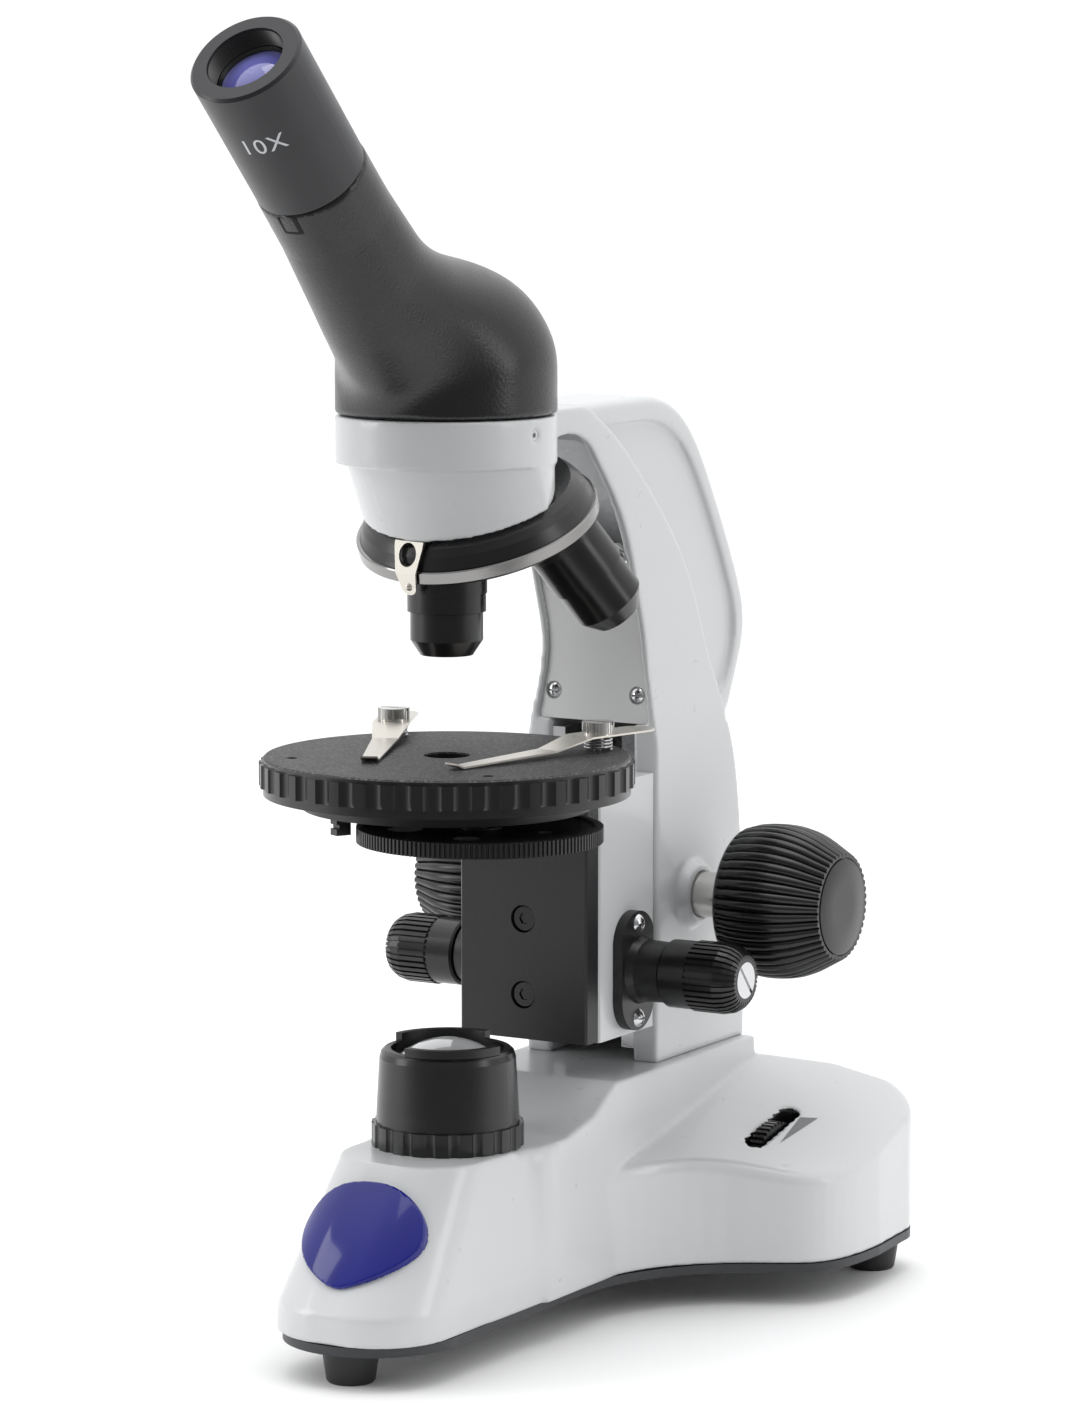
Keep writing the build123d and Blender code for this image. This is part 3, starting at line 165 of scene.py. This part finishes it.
def add_world():
    """A white surround that is dimmer in front of the microscope, so that dark paint keeps its depth."""
    rear_level, front_level, overhead_level = 1.04, 0.28, 0.68
    world = bpy.data.worlds.new("studio")
    world.use_nodes = True
    tree = world.node_tree
    background = tree.nodes["Background"]
    background.inputs["Color"].default_value = (0.99, 0.993, 1.0, 1)
    direction = node(tree, "ShaderNodeTexCoord").outputs["Generated"]
    facing = node(tree, "ShaderNodeVectorMath", operation="DOT_PRODUCT")
    facing.inputs[1].default_value = (math.sin(VIEW_AZIMUTH), -math.cos(VIEW_AZIMUTH), 0.0)
    tree.links.new(direction, facing.inputs[0])
    around = map_range(tree, facing.outputs["Value"], (-0.25, 0.85), (rear_level, front_level),
                       interpolation_type="SMOOTHSTEP")
    overhead = map_range(tree, height_of(tree, direction), (0.3, 1), (0, overhead_level))
    total = node(tree, "ShaderNodeMath", operation="ADD")
    tree.links.new(around, total.inputs[0])
    tree.links.new(overhead, total.inputs[1])
    tree.links.new(total.outputs["Value"], background.inputs["Strength"])
    bpy.context.scene.world = world


def add_floor():
    """A pale table whose front edge is near, so that nothing white is mirrored in the black paint."""
    front, far = -0.27, 40
    mesh = bpy.data.meshes.new("floor")
    mesh.from_pydata([(-far, front, 0), (far, front, 0), (far, far, 0), (-far, far, 0)], [], [(0, 1, 2, 3)])
    mesh.materials.append(make_material("floor", (0.97, 0.97, 0.97), 0.7, specular=0.2, mottle=0.0))
    floor = add_object("floor", mesh)
    floor.rotation_euler.z = VIEW_AZIMUTH


def add_studio():
    """The surround, three softboxes and the table."""
    add_world()
    add_area_light("softbox_left", (-1.05, -0.75, 0.60), (0.45, 0.9), 4.2)
    add_area_light("softbox_right", (1.25, 0.15, 0.60), (0.30, 0.9), 2.4)
    add_area_light("softbox_top", (0.1, -0.1, 1.5), (0.9, 0.9), 4.0)
    add_floor()
    bpy.context.scene.view_settings.view_transform = "Standard"


# ---------------------------------------------------------------- materials
def new_material(name):
    """A material, its tree, its shader and the place on the object."""
    material = bpy.data.materials.new(name)
    material.use_nodes = True
    tree = material.node_tree
    return material, tree, tree.nodes["Principled BSDF"], node(tree, "ShaderNodeTexCoord").outputs["Object"]


def make_material(name, colour, roughness, metallic=0.0, coat=0.0, grain=None, mottle=0.04, rough_spread=0.06,
                  specular=0.5, scratch=None, speckle=None):
    """A procedural finish. grain is (size, height) in mm; mottle varies the colour in large soft patches;
    scratch is the length in mm of fine brushed lines; speckle is (size in mm, lighter colour)."""
    patch_scale, drift_scale = 38.0, 160.0
    material, tree, shader, place = new_material(name)
    shader.inputs["Metallic"].default_value = metallic
    shader.inputs["Specular IOR Level"].default_value = specular
    shader.inputs["Coat Weight"].default_value = coat
    shader.inputs["Coat Roughness"].default_value = 0.06
    # soft patches of slightly different colour
    darker = [c * (1 - mottle) for c in colour]
    tint = mix_colours(tree, noise(tree, place, patch_scale, 3.0), darker, colour)
    if speckle:
        size, light = speckle
        dots = map_range(tree, noise(tree, place, PER_METRE / size, 2.0), (0.52, 0.68), (0, 1))
        tint = mix_colours(tree, dots, tint, light)
    tree.links.new(tint, shader.inputs["Base Color"])
    # roughness that drifts over the surface
    drift = map_range(tree, noise(tree, place, drift_scale, 4.0), (0, 1),
                      (max(0.02, roughness - rough_spread), roughness + rough_spread))
    tree.links.new(drift, shader.inputs["Roughness"])
    if grain:
        size, height = grain
        add_bump(tree, shader, noise(tree, place, PER_METRE / size, 3.0), 1.0, height)
    if scratch:
        stretch = node(tree, "ShaderNodeMapping")
        stretch.inputs["Scale"].default_value = (PER_METRE / scratch, PER_METRE / scratch, 9000.0)
        tree.links.new(place, stretch.inputs["Vector"])
        add_bump(tree, shader, noise(tree, stretch.outputs["Vector"], 1.0, 2.0), 0.35, 0.003)
    return material


def make_lens(name, face_on, edge_on_sheen, blend, haze, looks):
    """Polished glass that goes from one colour face on to another edge on; the colour edge on is a painted
    sheen. haze is (scale, least roughness, its spread); looks holds fixed values of the shader."""
    material, tree, shader, place = new_material(name)
    for socket, value in looks.items():
        shader.inputs[socket].default_value = value
    facing = node(tree, "ShaderNodeLayerWeight", Blend=blend).outputs["Facing"]
    tree.links.new(mix_colours(tree, facing, face_on, edge_on_sheen), shader.inputs["Base Color"])
    scale, roughness, spread = haze
    drift = map_range(tree, noise(tree, place, scale, 2.0), (0, 1), (roughness, roughness + spread))
    tree.links.new(drift, shader.inputs["Roughness"])
    return material


def make_glass(name, colour, coating):
    """Clear glass with the faint coloured sheen of an optical coating."""
    return make_lens(name, colour, coating, 0.35, (220.0, 0.01, 0.03), {
        "Transmission Weight": 0.9, "IOR": 1.52, "Coat Weight": 0.6, "Coat Tint": (*coating, 1)})


def make_coated(name, deep, rim):
    """A lens whose coating gives it a deep colour that turns paler at grazing angles; the paler colour is a
    painted sheen.
    """
    return make_lens(name, deep, rim, 0.45, (90.0, 0.05, 0.05), {
        "Transmission Weight": 0.15, "Coat Weight": 1.0, "Coat Roughness": 0.02})


def make_stage_finish():
    """Speckled matt paint on the stage's top face; smooth gloss on the fluted rim below it."""
    border_low, border_high = STAGE_TOP.z - 0.6 * MM, STAGE_TOP.z - 0.3 * MM
    material = make_material("stage_black", (0.018, 0.018, 0.019), 0.55, grain=(0.7, 0.12), mottle=0.15,
                             speckle=(0.8, (0.12, 0.12, 0.125)))
    tree = material.node_tree
    matt = tree.nodes["Principled BSDF"]
    gloss = node(tree, "ShaderNodeBsdfPrincipled", Base_Color=(0.008, 0.008, 0.009, 1), Roughness=0.27)
    height = height_of(tree, node(tree, "ShaderNodeTexCoord").outputs["Object"])
    mix = node(tree, "ShaderNodeMixShader")
    tree.links.new(map_range(tree, height, (border_low, border_high), (0, 1)), mix.inputs["Fac"])
    tree.links.new(gloss.outputs["BSDF"], mix.inputs[1])
    tree.links.new(matt.outputs["BSDF"], mix.inputs[2])
    tree.links.new(mix.outputs["Shader"], tree.nodes["Material Output"].inputs["Surface"])
    return material


def make_finishes():
    """One finish for each material slot of the record."""
    return {
        "white": make_material("white_paint", (0.60, 0.61, 0.615), 0.30, coat=0.35, grain=(1.6, 0.02),
                               mottle=0.015),
        # paler than the white paint: the cover's grey is lifted as painted light against the shade it sits in
        "cover": make_material("cover_grey_painted_light", (0.70, 0.705, 0.70), 0.40, grain=(0.6, 0.004), mottle=0.02),
        "black": make_material("black_paint", (0.009, 0.009, 0.0095), 0.36, grain=(0.5, 0.02), mottle=0.2),
        "stage_black": make_stage_finish(),
        "black_plastic": make_material("black_plastic", (0.007, 0.007, 0.0075), 0.26, grain=(0.35, 0.0015),
                                       mottle=0.1, rough_spread=0.02),
        "nickel": make_material("nickel", (0.68, 0.67, 0.65), 0.15, metallic=1.0, scratch=3.0),
        "steel": make_material("steel", (0.58, 0.58, 0.59), 0.28, metallic=1.0, scratch=2.0),
        "zinc_screw": make_material("zinc_screw", (0.62, 0.62, 0.63), 0.20, metallic=1.0, grain=(0.3, 0.003)),
        "aluminium": make_material("aluminium", (0.70, 0.71, 0.72), 0.35, metallic=1.0, scratch=4.0),
        "rubber": make_material("rubber", (0.014, 0.014, 0.015), 0.50, grain=(0.4, 0.02), mottle=0.3),
        "glass": make_glass("lens_glass", (0.97, 0.985, 0.99), (0.80, 0.88, 0.92)),
        "badge_blue": make_material("badge_blue", (0.010, 0.013, 0.25), 0.13, specular=0.22, coat=0.35,
                                    mottle=0.5),
        "grey_plastic": make_material("grey_plastic", (0.16, 0.165, 0.17), 0.5, grain=(0.4, 0.01)),
        "board_green": make_material("board_green", (0.02, 0.12, 0.04), 0.35, coat=0.4, mottle=0.2),
        "cell_green": make_material("cell_green", (0.03, 0.16, 0.05), 0.3, coat=0.5),
    }


def finish_nodes():
    """Every node takes its slot's finish; a few pieces have a finish of their own."""
    blade = make_material("blade_nickel", (0.66, 0.63, 0.57), 0.30, metallic=1.0, scratch=1.0)
    anodised = make_material("anodised", (0.006, 0.006, 0.0065), 0.24, scratch=2.0, mottle=0.2)
    special = {
        # both lenses below turn paler towards grazing angles: a painted sheen
        "eyepiece_optics": make_coated("coated_lens", (0.060, 0.055, 0.36), (0.35, 0.36, 0.85)),
        "collector_lens": make_coated("collector_glass", (0.30, 0.31, 0.32), (0.92, 0.93, 0.94)),
        "eyepiece_barrel": make_material("barrel_satin", (0.014, 0.014, 0.017), 0.34, grain=(0.3, 0.003),
                                         mottle=0.1),
        "nosepiece_turret": make_material("turret_satin", (0.006, 0.006, 0.007), 0.28, mottle=0.2),
        "nosepiece_ring": make_material("ring_polish", (0.27, 0.265, 0.26), 0.13, metallic=1.0, scratch=6.0),
        "led_board": make_material("reflector_white", (0.80, 0.80, 0.80), 0.3, coat=0.4),
        "stage_carrier": make_material("carrier_paint", (0.013, 0.013, 0.0145), 0.42, grain=(0.7, 0.05),
                                       mottle=0.2),
        "bottom_plate": make_material("plate_paint", (0.030, 0.032, 0.036), 0.42, grain=(0.5, 0.01),
                                      mottle=0.15),
        "clip_blade_left": blade, "clip_blade_right": blade, "click_spring": blade,
        "objective_4x": anodised, "objective_10x": anodised, "objective_40x": anodised,
        "carrier_screws": anodised,
    }
    for node_name, slot in SLOTS.items():
        mesh = NODES[node_name].data
        mesh.materials.clear()
        mesh.materials.append(special.get(node_name, finishes[slot]))


# ---------------------------------------------------------------- tools for the replaced castings
def new_mesh_of(piece):
    """The piece's mesh with its modifiers worked in."""
    bpy.context.view_layer.update()
    return bpy.data.meshes.new_from_object(piece.evaluated_get(bpy.context.evaluated_depsgraph_get()))


def shade_smooth(mesh):
    mesh.polygons.foreach_set("use_smooth", [True] * len(mesh.polygons))


def copy_of_node(name, node_name, voxel, rounds):
    """A new mesh with the node's shape, its sharp edges rounded like those of a casting."""
    piece = add_object(name, NODES[node_name].data.copy())
    remesh = piece.modifiers.new("even_mesh", "REMESH")
    remesh.mode = "VOXEL"
    remesh.voxel_size = voxel * MM
    soften = piece.modifiers.new("soften", "SMOOTH")
    soften.factor = 0.5
    soften.iterations = rounds
    final = new_mesh_of(piece)
    piece.modifiers.clear()
    piece.data = final
    final.name = name
    shade_smooth(final)
    return piece


def stand_for(piece, node_name, body, *looks):
    """The piece replaces the node and rides on its body; it takes the looks given, or else its slot's finish,
    and the first look covers it.
    """
    slot = SLOTS[node_name]
    piece.data.materials.clear()
    for look in looks or (finishes[slot],):
        piece.data.materials.append(look)
    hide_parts(node_name)
    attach(piece, body)


def get_points(mesh):
    """Vertices in mm, with the optical axis at X = 0, Y = 0."""
    points = np.zeros(len(mesh.vertices) * 3)
    mesh.vertices.foreach_get("co", points)
    return points.reshape(-1, 3) * PER_METRE - AXIS_SHIFT


def set_points(mesh, points):
    points = (points + AXIS_SHIFT) / PER_METRE
    mesh.vertices.foreach_set("co", points.astype(np.float32).ravel())
    mesh.update()


def polygon_middles(mesh):
    """X, Y and Z of the polygons' centres in mm, with the optical axis at X = 0, Y = 0."""
    middle = np.zeros(len(mesh.polygons) * 3)
    mesh.polygons.foreach_get("center", middle)
    return (middle.reshape(-1, 3) * PER_METRE - AXIS_SHIFT).T


def use_second_look(mesh, chosen):
    """The chosen polygons take the piece's second look."""
    mesh.polygons.foreach_set("material_index", chosen.astype(np.int32))


# ---------------------------------------------------------------- head
def head_distances(points):
    """Distance of each point to the round body of the head and to its inclined tube, in mm, and its place
    along the tube."""
    tube_places, tube_radii = (14, 45, 78, 95.2), (18.6, 17.6, 15.6, 15.4)
    x, y, z = points.T
    height = np.maximum(z - DOME_FOOT_Z, 0)
    near = np.sqrt((x / DOME_RADIUS) ** 2 + (y / DOME_RADIUS) ** 2 + (height / DOME_HEIGHT) ** 2)
    slope = np.sqrt((x / DOME_RADIUS ** 2) ** 2 + (y / DOME_RADIUS ** 2) ** 2
                    + (height / DOME_HEIGHT ** 2) ** 2) + 1e-9
    body = near * (near - 1) / slope
    along = (TUBE_FOOT_Z - z) * -TUBE_LEAN - y * TUBE_LEAN
    offset = np.sqrt(np.maximum(x ** 2 + y ** 2 + (z - TUBE_FOOT_Z) ** 2 - along ** 2, 1e-9))
    return body, offset - np.interp(along, tube_places, tube_radii), along


def head_surface(points):
    """The two shapes of the head flow into each other, most of all on top."""
    narrow, wider = 4.0, 20.0
    widening_z, widening_height = 262.0, 30.0
    body, tube, _ = head_distances(points)
    top = np.clip((points[:, 2] - widening_z) / widening_height, 0, 1)
    blend = narrow + wider * top * top * (3 - 2 * top)
    share = np.clip(0.5 + 0.5 * (tube - body) / blend, 0, 1)
    return tube * (1 - share) + body * share - blend * share * (1 - share)


def make_head():
    """The head casting: the tube grows out of the dome in one smooth sweep."""
    skin, tube_end, collar_top, collar_edge = 1.2, 94.2, 256.9, 256.5
    rounds, reach = 6, 0.05
    head = copy_of_node("head_shell", "head_housing", 0.8, 4)
    points = get_points(head.data)
    body, tube, along = head_distances(points)
    outside = (np.minimum(body, tube) > -skin) & (along < tube_end) & (points[:, 2] > collar_top)
    moving = points[outside]
    for _ in range(rounds):
        level = head_surface(moving)
        slope = np.stack([head_surface(moving + step) - head_surface(moving - step)
                          for step in np.eye(3) * reach], axis=1) / (2 * reach)
        moving = moving - (level / np.maximum((slope ** 2).sum(1), 1e-6))[:, None] * slope
    moving[:, 2] = np.maximum(moving[:, 2], collar_edge)
    points[outside] = moving
    set_points(head.data, points)
    stand_for(head, "head_housing", "head",
              make_material("head_grain", (0.008, 0.008, 0.0095), 0.28, grain=(0.8, 0.08), mottle=0.2))


# ---------------------------------------------------------------- coarse focus knobs
def smooth_curve(x, knots, values):
    """A smooth curve through the knots, with the mean slope at each of them."""
    slopes = np.gradient(values, knots)
    k = np.clip(np.searchsorted(knots, x, side="right") - 1, 0, len(knots) - 2)
    step = knots[k + 1] - knots[k]
    t = (x - knots[k]) / step
    return ((2 * t ** 3 - 3 * t ** 2 + 1) * values[k] + (t ** 3 - 2 * t ** 2 + t) * step * slopes[k]
            + (3 * t ** 2 - 2 * t ** 3) * values[k + 1] + (t ** 3 - t ** 2) * step * slopes[k + 1])


def knob_rings(length, largest):
    """The knob as rings of (mm along it, radius in mm at each angle), from the inner face to the end cap."""
    ribs, points_per_rib, rib_depth = 44, 12, 1.15
    rim_end, shoulder = 2.2, length - 0.3
    knots = np.array((0, 1.6, 4.5, 9, 14, 19.5, 24.5, 29, shoulder))
    radii = np.array((16.5, 19.4, 20.9, 21.8, largest, 21.4, 19.8, 17.4, 15.3))
    along = np.concatenate((np.linspace(0, rim_end, 10), np.linspace(rim_end + 0.2, shoulder, 56)))
    phase = np.tile(np.arange(points_per_rib) / points_per_rib, ribs)
    groove = 1 - np.sin(math.pi * phase) ** 0.55
    depth = rib_depth * np.clip((along - rim_end) / 1.3, 0, 1)
    ribbed = [(x, radius - deep * groove)
              for x, radius, deep in zip(along, smooth_curve(along, knots, radii), depth)]
    inner_face = ((0, 0), (0, 16.0))
    # a fine joint line, then the flat end cap
    end_cap = ((shoulder, 14.0), (length - 0.9, 13.95), (length - 0.9, 13.6), (length - 0.1, 13.6),
               (length, 13.4), (length, 6.0), (length, 0))
    plain = [[(x, 0 * phase + radius) for x, radius in rings] for rings in (inner_face, end_cap)]
    return plain[0] + ribbed + plain[1]


def join_rings(count, size):
    """Faces between rings of equal size that follow one another."""
    faces = []
    for first in range(0, (count - 1) * size, size):
        second = first + size
        for k in range(size):
            after = (k + 1) % size
            faces.append((first + k, first + after, second + after, second + k))
    return faces


def make_knob(node_name, side):
    """A barrel-shaped knob; its round ribs start at a plain rim and run down to the flat end."""
    weld, crease = 0.005 * MM, math.radians(38)
    low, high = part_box(node_name)
    inner = low.x if side > 0 else high.x
    rings = knob_rings((high.x - low.x) / MM, (high.z - low.z) / 2 / MM)
    size = rings[0][1].size
    turn = np.arange(size) / size * 2 * math.pi
    middle_y, middle_z = (low.y + high.y) / 2, (low.z + high.z) / 2
    points = []
    for x, radius in rings:
        points += [(inner + side * x * MM, y, z) for y, z in zip(middle_y + radius * np.cos(turn) * MM,
                                                                 middle_z + radius * np.sin(turn) * MM)]
    mesh = bpy.data.meshes.new(node_name + "_shell")
    mesh.from_pydata(points, [], join_rings(len(rings), size))
    work = bmesh.new()
    work.from_mesh(mesh)
    bmesh.ops.remove_doubles(work, verts=work.verts, dist=weld)
    bmesh.ops.recalc_face_normals(work, faces=work.faces)
    work.to_mesh(mesh)
    work.free()
    shade_smooth(mesh)
    mesh.set_sharp_from_angle(angle=crease)
    stand_for(add_object(node_name + "_shell", mesh), node_name, "coarse_drive")


# ---------------------------------------------------------------- base, badge and arm
def smooth_wing_seam(mesh):
    """The nose and the wings of the base flow together where they meet."""
    seam_y, nose_half, lowest, highest = 8.0, 17, 13, 60
    work = bmesh.new()
    work.from_mesh(mesh)
    for half_width, rounds in ((9.0, 40), (4.0, 30)):
        seam = [vertex for vertex in work.verts
                if abs((vertex.co.y - AXIS_Y) / MM - seam_y) < half_width
                and abs(vertex.co.x) > nose_half * MM and lowest * MM < vertex.co.z < highest * MM]
        for _ in range(rounds):
            bmesh.ops.smooth_vert(work, verts=seam, factor=0.5, use_axis_x=True, use_axis_y=True,
                                  use_axis_z=True)
    work.to_mesh(mesh)
    work.free()


def make_base():
    """The base casting; the dial's slot in the wing is dark inside."""
    slot_x, slot_y, half_width, half_length, skin, floor_z = 46.8, 101.5, 3.6, 15, 0.55, 32
    base = copy_of_node("base_shell", "base_casting", 0.75, 5)
    smooth_wing_seam(base.data)
    stand_for(base, "base_casting", "stand", finishes["white"], finishes["black_plastic"])
    x, y, z = polygon_middles(base.data)
    # the wing falls outwards and rises to the back
    wing_top = 60.7 - 0.33 * (x - 25) + 0.22 * (y - 131)
    use_second_look(base.data, (np.abs(x - slot_x) < half_width) & (np.abs(y - slot_y) < half_length)
                    & (z < wing_top - skin) & (z > floor_z))
    return base


def make_badge():
    """The plain badge, swollen like a drop of resin inside its outline."""
    swell, sectors = 1.5, 60
    badge = copy_of_node("badge_shell", "badge", 0.35, 6)
    points = get_points(badge.data)
    outward, upward = np.array((0, -0.775, 0.632)), np.array((0, 0.632, 0.775))
    offset = points - (points.min(0) + points.max(0)) / 2
    side, rise = offset[:, 0], offset @ upward
    angle, radius = np.arctan2(rise, side), np.hypot(side, rise)
    sector = np.clip(((angle + math.pi) / (2 * math.pi) * sectors).astype(int), 0, sectors - 1)
    reach = np.array([radius[sector == k].max() for k in range(sectors)])
    middles = (np.arange(sectors) + 0.5) / sectors * 2 * math.pi - math.pi
    share = radius / np.interp(angle, middles, reach, period=2 * math.pi)
    normals = np.zeros(points.size)
    badge.data.vertices.foreach_get("normal", normals)
    front = normals.reshape(-1, 3) @ outward > 0.3
    lift = swell * np.clip(1 - share ** 2, 0, 1) * front
    set_points(badge.data, points + lift[:, None] * outward)
    stand_for(badge, "badge", "stand")


def make_arm():
    """The arm casting; the hollow that shows above the cover plate has a coarse hammered surface inside, and
    its colour is made paler than the white paint as painted light against the hollow's shade.
    """
    half_width, lowest, highest, front_margin, rear_margin = 15.0, 164, 246, 1.2, 0.8
    # height and Y of the hollow's front opening and of its rear wall
    front_z, front_y = (172, 187, 206, 217.8, 232, 244.2), (79.8, 79.5, 73.8, 69.5, 60, 49.1)
    rear_z, rear_y = (163, 180, 205, 230, 246), (108, 104, 92, 72, 50)
    arm = copy_of_node("arm_shell", "arm_casting", 0.7, 5)
    # paler than the white paint: painted light that lifts the shade inside the hollow; the hammered grain is
    # the real finish
    hammered_and_painted_light = make_material("hollow_hammered_painted_light", (0.80, 0.81, 0.82), 0.34, grain=(2.0, 0.30), mottle=0.05)
    stand_for(arm, "arm_casting", "stand", finishes["white"], hammered_and_painted_light)
    x, y, z = polygon_middles(arm.data)
    front, rear = np.interp(z, front_z, front_y), np.interp(z, rear_z, rear_y)
    use_second_look(arm.data, (np.abs(x) < half_width) & (y > front + front_margin)
                    & (y < rear + rear_margin) & (z > lowest) & (z < highest))


# ---------------------------------------------------------------- small marks
def tube_point(along, angle, radius):
    """A point given by mm along the inclined tube, degrees round it and mm from its axis."""
    side, rise = math.cos(math.radians(angle)), math.sin(math.radians(angle))
    y = -TUBE_LEAN * along + radius * rise * TUBE_LEAN
    z = TUBE_FOOT_Z + TUBE_LEAN * along + radius * rise * TUBE_LEAN
    return Vector((radius * side, y + AXIS_Y * PER_METRE, z)) * MM


def add_piece(name, points, faces, finish, body):
    """A small mark of its own that rides on the body."""
    mesh = bpy.data.meshes.new(name)
    mesh.from_pydata([tuple(point) for point in points], [], faces)
    mesh.materials.append(finish)
    piece = add_object(name, mesh)
    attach(piece, body)


def add_barrel_number():
    """A plain printed magnification on the eyepiece barrel."""
    middle_along, middle_angle, barrel_radius, lift, longest_edge = 118.0, 262, 15.27, 0.01, 0.8
    curve = bpy.data.curves.new("barrel_number", "FONT")
    curve.body = "10X"
    curve.size = 7.0
    curve.space_character = 1.12
    letters = add_object("barrel_number_flat", curve)
    flat = new_mesh_of(letters)
    bpy.data.objects.remove(letters)
    work = bmesh.new()
    work.from_mesh(flat)
    bmesh.ops.triangulate(work, faces=work.faces)
    long_edges = [edge for edge in work.edges if edge.calc_length() > longest_edge]
    bmesh.ops.subdivide_edges(work, edges=long_edges, cuts=2)
    bmesh.ops.triangulate(work, faces=work.faces)
    points = [tube_point(middle_along + vertex.co.y,
                         middle_angle + math.degrees(vertex.co.x / barrel_radius), barrel_radius + lift)
              for vertex in work.verts]
    faces = [[vertex.index for vertex in face.verts] for face in work.faces]
    work.free()
    ink_and_painted_shadow = make_material("white_ink", (0.72, 0.73, 0.76), 0.5, mottle=0.1)
    add_piece("barrel_number", points, faces, ink_and_painted_shadow, "eyepiece")


def add_latch_groove_shadow():
    """A painted shadow of the U-shaped groove just below the seam of the tube, drawn as a flat dark sheet."""
    middle_angle, tube_radius, lift, steps = 268, 15.5, 0.03, 4
    low, turn_back, high = 88.7, 89.4, 94.4
    # each stroke as its left and right in mm round the tube, then its ends along the tube
    strokes = [((-3.0, -2.3), (low, high)), ((-2.3, 1.7), (low, turn_back)), ((1.7, 3.0), (low, high))]
    # near black: the groove's painted shadow, laid on the tube as a thin sheet
    ink_and_painted_shadow = make_material("groove_shadow", (0.0015, 0.0015, 0.0018), 0.8, mottle=0.1)
    points, faces = [], []
    for (left, right), (start, end) in strokes:
        for step in range(steps):
            a, b = (left + (right - left) * part / steps for part in (step, step + 1))
            first = len(points)
            for across, along in ((a, start), (b, start), (b, end), (a, end)):
                points.append(tube_point(along, middle_angle + math.degrees(across / tube_radius),
                                         tube_radius + lift))
            faces.append((first, first + 1, first + 2, first + 3))
    add_piece("latch_groove_shadow", points, faces, ink_and_painted_shadow, "head")


def add_brightness_mark(base):
    """A grey wedge printed beside the dial: narrow for dim, wide for bright."""
    above_base, lift, rows = 0.2, 0.08 * MM, 16
    tip = Vector((52.5, 95.5))
    ends = Vector((50.3, 111.9)), Vector((54.3, 115.5))
    tree = BVHTree.FromPolygons([vertex.co for vertex in base.data.vertices],
                                [face.vertices for face in base.data.polygons])
    points, faces = [], []
    for row in range(rows + 1):
        for end in ends:
            spot = tip.lerp(end, row / rows)
            start = Vector((spot.x * MM, spot.y * MM + AXIS_Y, above_base))
            hit = tree.ray_cast(start, Vector((0, 0, -1)))[0]
            points.append(hit + Vector((0, 0, lift)))
    for k in range(0, 2 * rows, 2):
        faces.append((k, k + 1, k + 3, k + 2))
    ink_and_painted_shadow = make_material("grey_ink", (0.16, 0.165, 0.17), 0.45, mottle=0.1)
    add_piece("brightness_mark", points, faces, ink_and_painted_shadow, "stand")


finishes = make_finishes()
finish_nodes()
base_shell = make_base()
make_arm()
make_badge()
make_head()
make_knob("coarse_knob_right", 1)
make_knob("coarse_knob_left", -1)
add_barrel_number()
add_latch_groove_shadow()
add_brightness_mark(base_shell)
add_studio()
add_camera()
